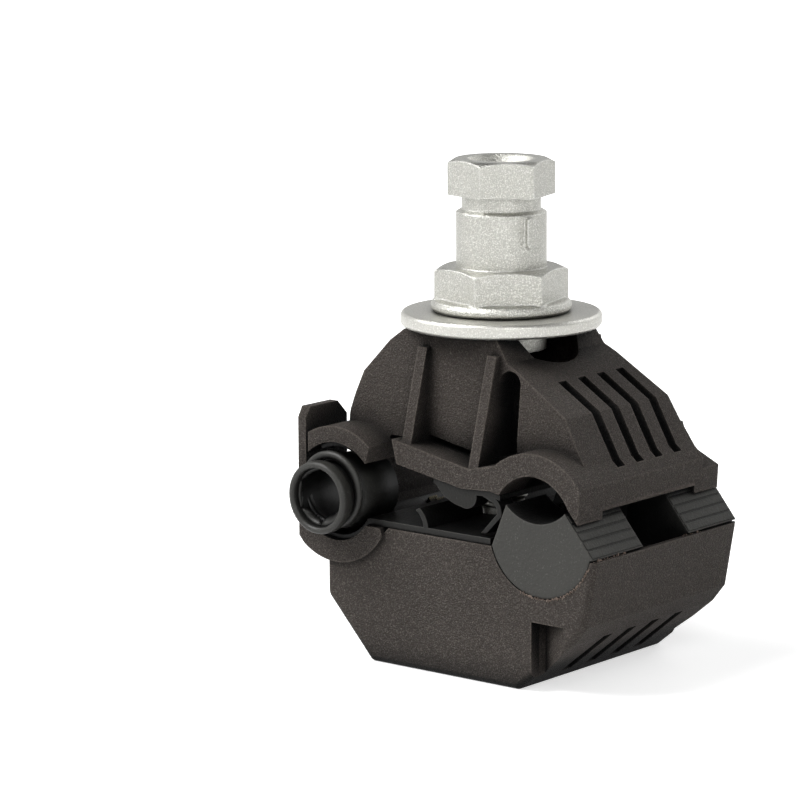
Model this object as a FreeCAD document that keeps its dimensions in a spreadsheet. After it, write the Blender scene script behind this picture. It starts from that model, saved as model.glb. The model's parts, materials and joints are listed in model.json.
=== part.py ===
import FreeCAD, Part
import math
import os
import Sketcher

Vector = FreeCAD.Vector
Rotation = FreeCAD.Rotation
Placement = FreeCAD.Placement

# Insulation piercing connector, one bolt. Millimetres, +Z up, +X from the branch
# groove to the main groove, cables along Y. The origin is where the bolt's axis
# meets the plane that the connector stands on.
SIZES = {
    # housings
    "housingDepth": 26.8,
    "flangeDepth": 26.0,
    "lipDepth": 27.8,
    "coreDepth": 19.4,
    "baseLeft": 8.1,
    "baseRight": 12.55,
    "kneeHeight": 6.4,
    "leftWall": 14.0,
    "chamferTop": 8.2,
    "rightWall": 23.0,
    "wallLean": 1.3,
    "wallTop": 15.55,
    "cornerRound": 0.8,
    "recessInset": 2.0,
    "recessWidth": 4.6,
    "recessDepth": 1.9,
    "recessBottom": 1.3,
    # branch groove, on the left
    "branchOffset": 12.6,
    "branchHeight": 18.65,
    "cradleBore": 5.3,
    "cradleRim": 7.8,
    "sleeveRelief": 4.7,
    "hoodBore": 5.8,
    "hoodRim": 7.6,
    "plateThickness": 1.15,
    "plateTop": 20.2,
    "tabTop": 27.9,
    "tabLength": 7.1,
    # main groove, on the right
    "mainOffset": 14.3,
    "mainHeight": 18.45,
    "archBore": 5.3,
    "archRim": 7.8,
    "sealOffset": 15.7,
    "sealHeight": 17.55,
    "sealBore": 6.95,
    # upper housing
    "roofTop": 37.15,
    "roofLeft": 6.9,
    "roofRight": 6.1,
    "shoulderHeight": 29.7,
    "shoulderOut": 16.1,
    "rimOut": 20.2,
    "rimTop": 22.9,
    "rimBottom": 19.2,
    "roofDraft": 1.2,
    "ribThickness": 1.3,
    "leftRib": 3.6,
    "rightRib": 6.1,
    "ribTopDepth": 19.0,
    "pocketWidth": 3.0,
    "pocketDepth": 3.3,
    "panelGroove": 0.8,
    "slotRadius": 6.0,
    "slotReach": 3.3,
    "slotDepth": 6.4,
    "boltSlotRadius": 3.5,
    "boltSlotReach": 1.6,
    "ventWidth": 1.4,
    "ventPitch": 3.5,
    "ventDepth": 1.2,
    "ventShift": 1.25,
    # bolt, washer and shear nut
    "boltRadius": 3.0,
    "boltFit": 0.05,
    "boltTop": 48.5,
    "boltHoleRadius": 3.4,
    "headFlats": 10.0,
    "headHeight": 4.0,
    "headPlay": 0.25,
    "washerRadius": 11.2,
    "washerThickness": 1.65,
    "washerChamfer": 0.3,
    "washerPlay": 0.3,
    "nutTurn": 44.8,
    "flangeRadius": 7.85,
    "flangeHeight": 1.4,
    "driveFlats": 13.0,
    "driveHeight": 3.5,
    "hexChamfer": 0.55,
    "barrelRadius": 5.05,
    "barrelHeight": 6.1,
    "coneHeight": 0.4,
    "neckRadius": 4.4,
    "neckHeight": 1.5,
    "shearFlats": 10.4,
    "shearHeight": 4.0,
    "bossLength": 4.2,
    "countersink": 3.75,
    "beadWidth": 1.1,
    "beadHeight": 3.5,
    "beadProud": 0.55,
    # seals, contact blades and sleeve
    "seat": 0.05,
    "gap": 0.3,
    "sealTip": 20.45,
    "sealTipSpread": 3.95,
    "sealHollow": 5.6,
    "sealGap": 8.4,
    "sealFoot": 15.75,
    "linerThickness": 1.0,
    "linerLength": 17.0,
    "bladeThickness": 1.5,
    "bladeSpacing": 10.6,
    "bladePlay": 0.1,
    "bladeBottom": 11.6,
    "bladeTop": 26.2,
    "toothDepth": 1.1,
    "upperTeethLeft": 3.6,
    "upperTeethRight": 2.0,
    "matThickness": 0.7,
    "branchLiner": 0.5,
    "lipOffset": 0.5,
    "skirtLength": 2.4,
    "tubeRadius": 4.25,
    "tubeLength": 6.5,
    "tubeBore": 3.5,
    "collarRadius": 4.1,
    "collarBore": 2.9,
    "collarLength": 1.2,
    "collarFront": 17.3,
    "grooveRadius": 3.4,
    "grooveLength": 0.7,
    "beadRadius": 4.4,
    "beadLength": 1.0,
    "petalThickness": 0.6,
    "petalSlit": 0.35,
    "petalHole": 0.9,
    "chamferSlotWidth": 1.7,
    "chamferSlotPitch": 4.4,
}


class Size:
    """A number together with the sheet expression that gives it."""

    def __init__(self, value, text):
        self.value = float(value)
        self.text = text

    def __add__(self, other):
        return Size(self.value + valueOf(other), f"({self.text} + {textOf(other)})")

    def __sub__(self, other):
        return Size(self.value - valueOf(other), f"({self.text} - {textOf(other)})")

    def __mul__(self, other):
        return Size(self.value * valueOf(other), f"({self.text} * {textOf(other)})")

    def __truediv__(self, other):
        return Size(self.value / valueOf(other), f"({self.text} / {textOf(other)})")

    def __radd__(self, other):
        return Size(other, textOf(other)) + self

    def __rsub__(self, other):
        return Size(other, textOf(other)) - self

    def __rmul__(self, other):
        return Size(other, textOf(other)) * self

    def __neg__(self):
        return Size(-self.value, f"(0 - {self.text})")


def valueOf(thing):
    return thing.value if isinstance(thing, Size) else float(thing)


def textOf(thing):
    if isinstance(thing, Size):
        return thing.text
    return f"({float(thing)!r})" if thing < 0 else repr(float(thing))


def root(thing):
    return Size(math.sqrt(valueOf(thing)), f"sqrt({textOf(thing)})")


def cosine(degrees):
    return Size(math.cos(math.radians(valueOf(degrees))), f"cos({textOf(degrees)} * 1deg)")


def sine(degrees):
    return Size(math.sin(math.radians(valueOf(degrees))), f"sin({textOf(degrees)} * 1deg)")


def onCircle(centreX, centreY, radius, degrees):
    return (centreX + radius * cosine(degrees), centreY + radius * sine(degrees))


doc = FreeCAD.newDocument("PiercingConnector")
sheet = doc.addObject("Spreadsheet::Sheet", "Sizes")


def fillSheet():
    sizes = {}
    for row, (name, value) in enumerate(SIZES.items(), start=1):
        sheet.set(f"A{row}", name)
        sheet.set(f"B{row}", str(value))
        sheet.setAlias(f"B{row}", name)
        sizes[name] = Size(value, f"Sizes.{name}")
    doc.recompute()
    return sizes


size = fillSheet()


def makeBody(label):
    body = doc.addObject("PartDesign::Body", label)
    body.Label = label
    return body


def originFeature(body, role):
    return [item for item in body.Origin.OriginFeatures if item.Role == role][0]


def makeSketch(body, name, role, offset=None):
    """A sketch on XY, XZ or YZ, moved along the plane's normal by offset."""
    sketch = body.newObject("Sketcher::SketchObject", name)
    sketch.AttachmentSupport = (originFeature(body, role + "_Plane"), [""])
    sketch.MapMode = "FlatFace"
    if offset is not None:
        sketch.AttachmentOffset = Placement(Vector(0, 0, valueOf(offset)), Rotation())
        sketch.setExpression("AttachmentOffset.Base.z", textOf(offset))
    return sketch


def pin(sketch, edge, point, coordinates):
    """Ties one end of an edge to its two coordinates."""
    for kind, axis, coordinate in (("DistanceX", -2, coordinates[0]), ("DistanceY", -1, coordinates[1])):
        if isinstance(coordinate, Size) or coordinate != 0:
            index = sketch.addConstraint(Sketcher.Constraint(kind, edge, point, valueOf(coordinate)))
            if isinstance(coordinate, Size):
                sketch.setExpression(f"Constraints[{index}]", coordinate.text)
        else:
            sketch.addConstraint(Sketcher.Constraint("PointOnObject", edge, point, axis))


def drawOutline(sketch, corners):
    """A closed outline. A corner (x, y) starts a straight edge and a corner
    (x, y, radius, side) an arc, whose centre is on the left of its chord for
    side 1 and on the right for side -1."""
    first = sketch.GeometryCount
    count = len(corners)
    starts = []
    ends = []
    for index, corner in enumerate(corners):
        nextCorner = corners[(index + 1) % count]
        start = Vector(valueOf(corner[0]), valueOf(corner[1]), 0)
        end = Vector(valueOf(nextCorner[0]), valueOf(nextCorner[1]), 0)
        if len(corner) == 2:
            sketch.addGeometry(Part.LineSegment(start, end), False)
            starts.append(1)
            ends.append(2)
            continue
        radius = valueOf(corner[2])
        side = corner[3]
        chord = end - start
        leftward = Vector(-chord.y, chord.x, 0).normalize()
        reach = math.sqrt(max(radius ** 2 - (chord.Length / 2) ** 2, 0))
        centre = (start + end) * 0.5 + leftward * (reach * side)
        startAngle = math.atan2(start.y - centre.y, start.x - centre.x)
        endAngle = math.atan2(end.y - centre.y, end.x - centre.x)
        circle = Part.Circle(centre, Vector(0, 0, 1), radius)
        if side > 0:
            sketch.addGeometry(Part.ArcOfCircle(circle, startAngle, endAngle), False)
        else:
            sketch.addGeometry(Part.ArcOfCircle(circle, endAngle, startAngle), False)
        starts.append(1 if side > 0 else 2)
        ends.append(2 if side > 0 else 1)
    for index, corner in enumerate(corners):
        following = (index + 1) % count
        joint = Sketcher.Constraint("Coincident", first + index, ends[index], first + following, starts[following])
        sketch.addConstraint(joint)
    for index, corner in enumerate(corners):
        pin(sketch, first + index, starts[index], corner[:2])
        if len(corner) > 2:
            row = sketch.addConstraint(Sketcher.Constraint("Radius", first + index, valueOf(corner[2])))
            if isinstance(corner[2], Size):
                sketch.setExpression(f"Constraints[{row}]", corner[2].text)


def drawCircle(sketch, x, y, radius):
    centre = Vector(valueOf(x), valueOf(y), 0)
    edge = sketch.addGeometry(Part.Circle(centre, Vector(0, 0, 1), valueOf(radius)), False)
    pin(sketch, edge, 3, (x, y))
    row = sketch.addConstraint(Sketcher.Constraint("Radius", edge, valueOf(radius)))
    if isinstance(radius, Size):
        sketch.setExpression(f"Constraints[{row}]", radius.text)


def drawHexagon(sketch, flats, turn):
    corners = []
    for corner in range(6):
        corners.append(onCircle(0, 0, flats / math.sqrt(3), turn + 60 * corner))
    drawOutline(sketch, corners)


def drawSlot(sketch, reach, radius, x=0, y=0):
    """A slot along the sketch's first axis with round ends."""
    corners = [
        (x - reach, y - radius),
        (x + reach, y - radius, radius * 1.0001, 1),
        (x + reach, y + radius),
        (x - reach, y + radius, radius * 1.0001, 1),
    ]
    drawOutline(sketch, corners)


def setLength(feature, length):
    feature.Length = valueOf(length)
    if isinstance(length, Size):
        feature.setExpression("Length", length.text)


def pad(body, sketch, length, side="Symmetric", flip=False):
    feature = body.newObject("PartDesign::Pad", sketch.Name + "Pad")
    feature.Profile = sketch
    feature.SideType = side
    feature.Reversed = flip
    setLength(feature, length)
    sketch.Visibility = False
    return feature


def pocket(body, sketch, length=None, side="Symmetric", flip=False):
    feature = body.newObject("PartDesign::Pocket", sketch.Name + "Cut")
    feature.Profile = sketch
    feature.SideType = side
    feature.Reversed = flip
    if length is None:
        feature.Type = "ThroughAll"
    else:
        setLength(feature, length)
    sketch.Visibility = False
    return feature


def revolve(body, sketch, axis):
    feature = body.newObject("PartDesign::Revolution", sketch.Name + "Turn")
    feature.Profile = sketch
    feature.ReferenceAxis = (originFeature(body, axis + "_Axis"), [""])
    feature.Angle = 360
    return feature


def linePattern(body, features, axis, length, count):
    pattern = body.newObject("PartDesign::LinearPattern", features[-1].Name + "Row")
    pattern.Originals = features
    pattern.Direction = (originFeature(body, axis + "_Axis"), [""])
    pattern.Occurrences = count
    setLength(pattern, length)
    body.Tip = pattern
    return pattern


def mirror(body, features, role):
    mirrored = body.newObject("PartDesign::Mirrored", features[-1].Name + "Mirror")
    mirrored.Originals = features
    mirrored.MirrorPlane = (originFeature(body, role + "_Plane"), [""])
    body.Tip = mirrored
    return mirrored


branchX = -size["branchOffset"]
branchZ = size["branchHeight"]
mainX = size["mainOffset"]
mainZ = size["mainHeight"]
sealX = size["sealOffset"]
sealZ = size["sealHeight"]
plateOut = branchX - size["cradleBore"] - 0.1
plateIn = plateOut + size["plateThickness"]
halfLip = size["lipDepth"] / 2
halfHousing = size["housingDepth"] / 2
halfFlange = size["flangeDepth"] / 2
halfBlades = size["bladeSpacing"] / 2
bladeSlot = size["bladeThickness"] + 2 * size["bladePlay"]


def below(centreX, centreZ, radius, x):
    """The height of a circle's lower half at x."""
    across = x - centreX
    return centreZ - root(radius * radius - across * across)


def above(centreX, centreZ, radius, x):
    across = x - centreX
    return centreZ + root(radius * radius - across * across)


def cutForBlades(body, name, corners):
    """A slit on each side of the bolt with the blade's outline."""
    sketch = makeSketch(body, name, "XZ", halfBlades)
    drawOutline(sketch, corners)
    slit = pocket(body, sketch, bladeSlot)
    return mirror(body, [slit], "XZ")


def roundOuterEdges(body, radius):
    """Rounds the edges round a block's two end faces, below its top and left
    of the branch cradle, and the long edges of its base."""
    doc.recompute()
    names = []
    for index, edge in enumerate(body.Shape.Edges, start=1):
        middle = edge.valueAt((edge.FirstParameter + edge.LastParameter) / 2)
        atEndFace = abs(abs(middle.y) - halfHousing.value) < 0.01
        atBase = abs(middle.z) < 0.01
        underCradle = middle.x < 0 and middle.z > size["kneeHeight"].value + 0.1
        atTop = middle.z > size["wallTop"].value - 0.01
        if (atEndFace or atBase) and not underCradle and not atTop:
            names.append(f"Edge{index}")
    block = body.Tip
    rounding = body.newObject("PartDesign::Fillet", "outerRounding")
    rounding.Base = (block, names)
    rounding.Radius = valueOf(radius)
    rounding.setExpression("Radius", radius.text)
    return rounding


def buildLowerBody():
    body = makeBody("lower_body")
    block = makeSketch(body, "lowerBlock", "XZ")
    drawOutline(block, [
        (-size["baseLeft"], 0),
        (size["baseRight"], 0),
        (size["rightWall"] - size["wallLean"] - 1.6, size["chamferTop"] - 2.0),
        (size["rightWall"] - size["wallLean"], size["chamferTop"]),
        (size["rightWall"], size["wallTop"]),
        (branchX + size["cradleRim"] - 0.6, size["wallTop"]),
        (branchX + size["cradleRim"] / 2, branchZ - size["cradleRim"] * 0.8),
        (-size["leftWall"], branchZ - size["cradleRim"] + 1.2),
        (-size["leftWall"], size["kneeHeight"]),
    ])
    pad(body, block, size["housingDepth"])
    roundOuterEdges(body, size["cornerRound"])

    tipDrop = branchZ - size["wallTop"]
    tipInner = (branchX + root(size["cradleBore"] * size["cradleBore"] - tipDrop * tipDrop), size["wallTop"])
    tipOuter = onCircle(branchX, branchZ, size["cradleRim"], -31)
    heel = onCircle(branchX, branchZ, size["cradleRim"], -127)
    plateFoot = below(branchX, branchZ, size["cradleBore"], plateIn)
    cradle = makeSketch(body, "cradle", "XZ")
    drawOutline(cradle, [
        tipInner,
        (tipOuter[0] - 0.3, size["wallTop"]),
        (tipOuter[0], tipOuter[1], size["cradleRim"], -1),
        heel,
        (plateOut, heel[1] + 0.8),
        (plateOut, size["plateTop"]),
        (plateIn, size["plateTop"]),
        (plateIn, plateFoot, size["cradleBore"], 1),
    ])
    pad(body, cradle, size["lipDepth"])

    tabs = makeSketch(body, "guideTabs", "YZ", (plateOut + plateIn) / 2)
    tabFoot = size["plateTop"] - 1
    for side in (-1, 1):
        outer = side * halfLip
        inner = side * (halfLip - size["tabLength"])
        corners = [
            (outer, tabFoot),
            (outer, size["tabTop"] - 1.2),
            (outer - side * 0.7, size["tabTop"]),
            (inner + side * 1.6, size["tabTop"]),
            (inner, size["tabTop"] - 1.6),
            (inner, tabFoot),
        ]
        drawOutline(tabs, corners)
    pad(body, tabs, size["plateThickness"])

    recess = makeSketch(body, "sealRecess", "XZ")
    drawCircle(recess, sealX, sealZ, size["sealBore"])
    pocket(body, recess, size["housingDepth"] + 2)

    channel = makeSketch(body, "branchChannel", "XZ")
    drawOutline(channel, [
        (plateIn, plateFoot, size["cradleBore"], 1),
        (branchX + size["cradleBore"], branchZ),
        (branchX + size["cradleBore"], branchZ + 4),
        (plateIn, branchZ + 4),
    ])
    pocket(body, channel, size["lipDepth"] + 2)
    relief = makeSketch(body, "sleeveRelief", "XZ")
    drawCircle(relief, branchX, branchZ, size["sleeveRelief"])
    pocket(body, relief, size["lipDepth"] + 2)

    boltHole = makeSketch(body, "boltHole", "XY")
    drawCircle(boltHole, 0, 0, size["boltHoleRadius"])
    pocket(body, boltHole)

    headRecess = makeSketch(body, "headRecess", "XY")
    drawHexagon(headRecess, size["headFlats"] + 2 * size["headPlay"], 0)
    headDepth = size["headHeight"] + size["seat"]
    pocket(body, headRecess, headDepth, "One side", True)

    play = size["bladePlay"]
    cutForBlades(body, "lowerBladeSlit", [
        (branchX - 2.7, size["bladeBottom"] - play),
        (sealX - 3, size["bladeBottom"] - play),
        (sealX - 3, size["wallTop"] + 1),
        (branchX - 2.7, size["wallTop"] + 1),
    ])

    # four short slots across the lower right chamfer
    chamferEnd = size["rightWall"] - size["wallLean"] - 1.6
    slope = (size["chamferTop"] - 2.0) / (chamferEnd - size["baseRight"])
    chamferSlot = makeSketch(body, "chamferSlot", "XZ", 1.5 * size["chamferSlotPitch"])
    lowX = size["baseRight"] + 1.6
    highX = chamferEnd - 0.3
    lowZ = slope * 1.6
    highZ = slope * (highX - size["baseRight"])
    drawOutline(chamferSlot, [
        (lowX + 0.7, lowZ - 1.4),
        (highX + 0.9, highZ - 0.9),
        (highX - 0.7, highZ + 1.1),
        (lowX - 0.7, lowZ + 1.1),
    ])
    slot = pocket(body, chamferSlot, size["chamferSlotWidth"])
    linePattern(body, [slot], "Y", 3 * size["chamferSlotPitch"], 4)

    # recess low on the right of each end face, deep at its left and rising
    # to the face at its right
    recessLeft = size["baseRight"] + size["recessInset"]
    floor = -halfHousing + size["recessDepth"]
    facet = makeSketch(body, "slopedRecess", "XY", size["recessBottom"])
    drawOutline(facet, [
        (recessLeft, -halfHousing - 1),
        (recessLeft + size["recessWidth"], -halfHousing - 1),
        (recessLeft + size["recessWidth"], -halfHousing),
        (recessLeft + 1.0, floor - 0.3),
        (recessLeft + 0.5, floor),
        (recessLeft, floor - 0.5),
    ])
    facetCut = pocket(body, facet, size["chamferTop"] - 0.3 - size["recessBottom"], "One side", True)
    mirror(body, [facetCut], "XZ")
    return body


def buildUpperBody():
    body = makeBody("upper_body")
    archEnd = onCircle(mainX, mainZ, size["archBore"], 28)
    archStart = onCircle(mainX, mainZ, size["archBore"], 149)
    core = makeSketch(body, "upperCore", "XZ")
    drawOutline(core, [
        (branchX - 1.5, branchZ + size["hoodBore"] + 0.9),
        (branchX - 1.3, branchZ + size["hoodRim"] + 1.2),
        (branchX - 0.7, size["shoulderHeight"] - 0.3),
        (-size["roofLeft"] - 5.4, size["roofTop"] - 5.2),
        (-size["roofLeft"] - 1.9, size["roofTop"] - 1.4),
        (-size["roofLeft"], size["roofTop"]),
        (size["roofRight"], size["roofTop"]),
        (size["roofRight"] + 1.6, size["roofTop"] - 2.4),
        (size["roofRight"] + 3.2, size["roofTop"] - 3.2),
        (size["shoulderOut"], size["shoulderHeight"]),
        (size["rimOut"] - 1.2, size["rimTop"] + 1.6),
        (size["rimOut"], size["rimTop"]),
        (size["rimOut"], size["rimBottom"]),
        archEnd,
        (mainX, mainZ + size["archBore"] - 1.5),
        archStart,
        (mainX - 5.8, mainZ + 3.0),
        (mainX - 9.7, mainZ + 2.8),
        (mainX - 18.8, mainZ + 4.4),
        (mainX - 19.5, mainZ + 6.8),
        (branchX + 4.6, mainZ + 6.8),
        (branchX + 3.9, branchZ + size["hoodBore"] - 0.5),
    ])
    pad(body, core, size["coreDepth"])

    flangeEnd = onCircle(mainX, mainZ, size["archRim"], 36)
    flangeTop = onCircle(mainX, mainZ, size["archRim"], 131)
    flange = makeSketch(body, "archFlange", "XZ")
    drawOutline(flange, [
        (archEnd[0] + 1.4, size["rimBottom"]),
        (flangeEnd[0], flangeEnd[1], size["archRim"], 1),
        flangeTop,
        (mainX - 8.8, mainZ + 5.1),
        (mainX - 18.2, mainZ + 6.9),
        (mainX - 19.5, mainZ + 7.1),
        (mainX - 18.8, mainZ + 4.4),
        (mainX - 9.7, mainZ + 2.8),
        (mainX - 5.8, mainZ + 3.0),
        (archStart[0], archStart[1], size["archBore"], -1),
        archEnd,
    ])
    pad(body, flange, size["flangeDepth"])

    hoodLeft = plateIn + size["gap"]
    hood = makeSketch(body, "hood", "XZ")
    hoodRightInner = onCircle(branchX, branchZ, size["hoodBore"], 42)
    hoodRightOuter = onCircle(branchX, branchZ, size["hoodRim"], 50)
    drawOutline(hood, [
        (hoodLeft, above(branchX, branchZ, size["hoodBore"], hoodLeft), size["hoodBore"], -1),
        hoodRightInner,
        (hoodRightOuter[0], hoodRightOuter[1], size["hoodRim"], 1),
        (hoodLeft, above(branchX, branchZ, size["hoodRim"], hoodLeft)),
    ])
    pad(body, hood, size["lipDepth"])

    # front and rear walls lean in towards the roof
    draft = makeSketch(body, "roofDraft", "YZ")
    halfCore = size["coreDepth"] / 2
    for side in (-1, 1):
        corners = [
            (side * (halfCore + 0.001), mainZ + 8.5),
            (side * (halfCore + 2), mainZ + 8.5),
            (side * (halfCore + 2), size["roofTop"] + 1),
            (side * (halfCore - size["roofDraft"]), size["roofTop"] + 1),
        ]
        drawOutline(draft, corners)
    pocket(body, draft, 60)

    ribs = [("leftRib", -size["leftRib"]), ("rightRib", size["rightRib"])]
    for name, x in ribs:
        rib = makeSketch(body, name, "YZ", x)
        foot = mainZ + 4.5
        crest = size["roofTop"] - 1.6
        drawOutline(rib, [
            (-halfFlange, foot),
            (-size["ribTopDepth"] / 2, crest),
            (size["ribTopDepth"] / 2, crest),
            (halfFlange, foot),
        ])
        pad(body, rib, size["ribThickness"])

    niche = makeSketch(body, "niche", "XZ", halfCore)
    nicheLeft = size["rightRib"] + size["ribThickness"] / 2
    drawOutline(niche, [
        (nicheLeft, mainZ + 6.0),
        (nicheLeft + size["pocketWidth"], mainZ + 6.6),
        (nicheLeft + size["pocketWidth"], size["roofTop"] - 4.6, size["pocketWidth"] / 2 * 1.0001, 1),
        (nicheLeft, size["roofTop"] - 4.6),
    ])
    cut = pocket(body, niche, size["pocketDepth"] * 2)
    mirror(body, [cut], "XZ")

    # groove along the foot of the panel between the ribs
    grooveLeft = -size["leftRib"] + size["ribThickness"] / 2 + 0.3
    grooveRight = size["rightRib"] - size["ribThickness"] / 2 - 0.3
    panelGroove = makeSketch(body, "panelGroove", "XZ", halfCore)
    drawOutline(panelGroove, [
        (grooveLeft, mainZ + 6.7),
        (grooveRight, mainZ + 5.2),
        (grooveRight, mainZ + 5.2 + size["panelGroove"]),
        (grooveLeft, mainZ + 6.7 + size["panelGroove"]),
    ])
    footCut = pocket(body, panelGroove, size["pocketDepth"])
    mirror(body, [footCut], "XZ")

    # the rear end of the flange is cut lower on the right
    rearTrim = makeSketch(body, "rearTrim", "XZ", -halfFlange - 0.1)
    drawOutline(rearTrim, [
        (mainX + 0.9, mainZ + 9.0),
        (mainX + 1.5, mainZ + 7.15),
        (mainX + 3.2, mainZ + 4.8),
        (mainX + 7.0, mainZ + 3.0),
        (mainX + 8.0, mainZ + 3.0),
        (mainX + 8.0, mainZ + 9.0),
    ])
    pocket(body, rearTrim, halfFlange - halfCore - 0.1, "One side", True)

    arch = makeSketch(body, "archBore", "XZ")
    drawCircle(arch, mainX, mainZ, size["archBore"])
    pocket(body, arch, size["lipDepth"] + 2)

    hoodBore = makeSketch(body, "hoodBore", "XZ")
    drawCircle(hoodBore, branchX, branchZ, size["hoodBore"])
    pocket(body, hoodBore, size["lipDepth"] + 2)

    liner = makeSketch(body, "linerRecess", "XZ")
    drawCircle(liner, mainX, mainZ, size["archBore"] + size["linerThickness"] + size["seat"])
    pocket(body, liner, size["linerLength"] + 2 * size["seat"])

    slot = makeSketch(body, "roofSlot", "XY", size["roofTop"])
    drawSlot(slot, size["slotReach"], size["slotRadius"])
    pocket(body, slot, size["slotDepth"], "One side")

    boltSlot = makeSketch(body, "boltSlot", "XY")
    drawSlot(boltSlot, size["boltSlotReach"], size["boltSlotRadius"])
    pocket(body, boltSlot)

    play = size["bladePlay"]
    cutForBlades(body, "upperBladeSlit", [
        (branchX - 1.9 - play, branchZ + 3),
        (branchX + 1.9 + play, branchZ + 3),
        (branchX + 5.6, size["bladeTop"] - 1.9 - play),
        (mainX - size["upperTeethLeft"] - 0.4 - play, size["bladeTop"] - 1.9 - play),
        (mainX - size["upperTeethLeft"] - play, mainZ + 3),
        (mainX + size["upperTeethRight"] + play, mainZ + 3),
        (mainX + size["upperTeethRight"] + play, size["bladeTop"] + play),
        (branchX + 2.0, size["bladeTop"] + play),
        (branchX - 1.9 - play, size["bladeTop"] - 1.0 + play),
    ])

    vent = makeSketch(body, "vent", "XZ", 1.5 * size["ventPitch"] - size["ventShift"])
    roofStart = size["roofRight"] + 3.2
    roofSlope = (size["roofTop"] - 3.2 - size["shoulderHeight"]) / (size["shoulderOut"] - roofStart)
    ventTopX = roofStart + 2.2
    ventTopZ = size["roofTop"] - 3.2 - roofSlope * 2.2
    ventEndX = size["rimOut"] - 0.8
    ventEndZ = size["rimTop"] + 1.0
    depth = size["ventDepth"]
    drawOutline(vent, [
        (ventTopX - 0.5 * depth, ventTopZ - 0.8 * depth),
        (size["shoulderOut"] - 0.7 * depth, size["shoulderHeight"] - 0.9 * depth),
        (ventEndX - 0.6 * depth, ventEndZ - 0.2 * depth),
        (ventEndX + 1.5, ventEndZ + 1.0),
        (size["shoulderOut"] + 1.5, size["shoulderHeight"] + 1.8),
        (ventTopX + 1.0, ventTopZ + 1.8),
    ])
    cut = pocket(body, vent, size["ventWidth"])
    linePattern(body, [cut], "Y", 3 * size["ventPitch"], 4)
    return body


def buildNut():
    body = makeBody("shear_nut")
    washerTop = size["roofTop"] + size["seat"] + size["washerThickness"]
    flangeBottom = washerTop + size["seat"]
    driveBottom = flangeBottom + size["flangeHeight"]
    barrelBottom = driveBottom + size["driveHeight"]
    coneBottom = barrelBottom + size["barrelHeight"]
    neckBottom = coneBottom + size["coneHeight"]
    shearBottom = neckBottom + size["neckHeight"]
    shearTop = shearBottom + size["shearHeight"]
    profile = makeSketch(body, "nutProfile", "XZ")
    drawOutline(profile, [
        (0, washerTop - size["bossLength"]),
        (size["barrelRadius"], washerTop - size["bossLength"]),
        (size["barrelRadius"], flangeBottom),
        (size["flangeRadius"] - 0.3, flangeBottom),
        (size["flangeRadius"], flangeBottom + 0.35),
        (size["flangeRadius"], driveBottom - 0.7),
        (size["flangeRadius"] - 0.25, driveBottom - 0.25),
        (size["flangeRadius"] - 0.8, driveBottom),
        (size["barrelRadius"], driveBottom),
        (size["barrelRadius"], coneBottom),
        (size["neckRadius"], neckBottom),
        (size["neckRadius"], shearTop - 0.5),
        (0, shearTop - 0.5),
    ])
    revolve(body, profile, "Z")
    drive = makeSketch(body, "driveHex", "XY", driveBottom - 0.4)
    drawHexagon(drive, size["driveFlats"], size["nutTurn"])
    pad(body, drive, size["driveHeight"] + 0.4, "One side")
    shear = makeSketch(body, "shearHex", "XY", shearBottom)
    drawHexagon(shear, size["shearFlats"], size["nutTurn"])
    pad(body, shear, size["shearHeight"], "One side")

    # the hexagons' upper corners are turned off
    hexagons = [
        ("drive", size["driveFlats"], barrelBottom),
        ("shear", size["shearFlats"], shearTop),
    ]
    for name, flats, top in hexagons:
        corner = flats / math.sqrt(3)
        turned = makeSketch(body, name + "Corners", "XZ")
        drawOutline(turned, [
            (flats / 2 - 0.1, top + 0.02),
            (corner + 0.2, top + 0.02),
            (corner + 0.2, top - size["hexChamfer"]),
        ])
        off = body.newObject("PartDesign::Groove", name + "CornersTurn")
        off.Profile = turned
        off.ReferenceAxis = (originFeature(body, "Z_Axis"), [""])
        off.Angle = 360

    # upright bead on the barrel, over one corner of the hexagon
    bead = makeSketch(body, "bead", "YZ")
    beadAngle = size["nutTurn"] - 60
    bead.AttachmentOffset = Placement(Vector(0, 0, 0), Rotation(Vector(0, 1, 0), beadAngle.value))
    bead.setExpression("AttachmentOffset.Rotation.Angle", f"{beadAngle.text} * 1deg")
    beadTop = coneBottom - 0.15
    beadHalf = size["beadWidth"] / 2
    drawOutline(bead, [
        (beadHalf, beadTop - size["beadHeight"] + beadHalf),
        (beadHalf, beadTop - beadHalf, beadHalf * 1.0001, 1),
        (-beadHalf, beadTop - beadHalf),
        (-beadHalf, beadTop - size["beadHeight"] + beadHalf, beadHalf * 1.0001, 1),
    ])
    pad(body, bead, size["barrelRadius"] + size["beadProud"], "One side")

    bore = makeSketch(body, "nutBore", "XZ")
    radius = size["boltRadius"] + size["boltFit"]
    bottom = washerTop - size["bossLength"] - 1
    drawOutline(bore, [
        (0, bottom),
        (radius, bottom),
        (radius, shearTop - (size["countersink"] - radius) * 1.4),
        (size["countersink"], shearTop),
        (size["countersink"], shearTop + 1),
        (0, shearTop + 1),
    ])
    groove = body.newObject("PartDesign::Groove", "nutBoreTurn")
    groove.Profile = bore
    groove.ReferenceAxis = (originFeature(body, "Z_Axis"), [""])
    groove.Angle = 360
    return body


def buildWasher():
    body = makeBody("flat_washer")
    bottom = size["roofTop"] + size["seat"]
    top = bottom + size["washerThickness"]
    hole = size["barrelRadius"] + size["washerPlay"]
    edge = size["washerChamfer"]
    profile = makeSketch(body, "washerProfile", "XZ")
    drawOutline(profile, [
        (hole, bottom),
        (size["washerRadius"] - edge, bottom),
        (size["washerRadius"], bottom + edge),
        (size["washerRadius"], top - edge),
        (size["washerRadius"] - edge, top),
        (hole, top),
    ])
    revolve(body, profile, "Z")
    return body


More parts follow.
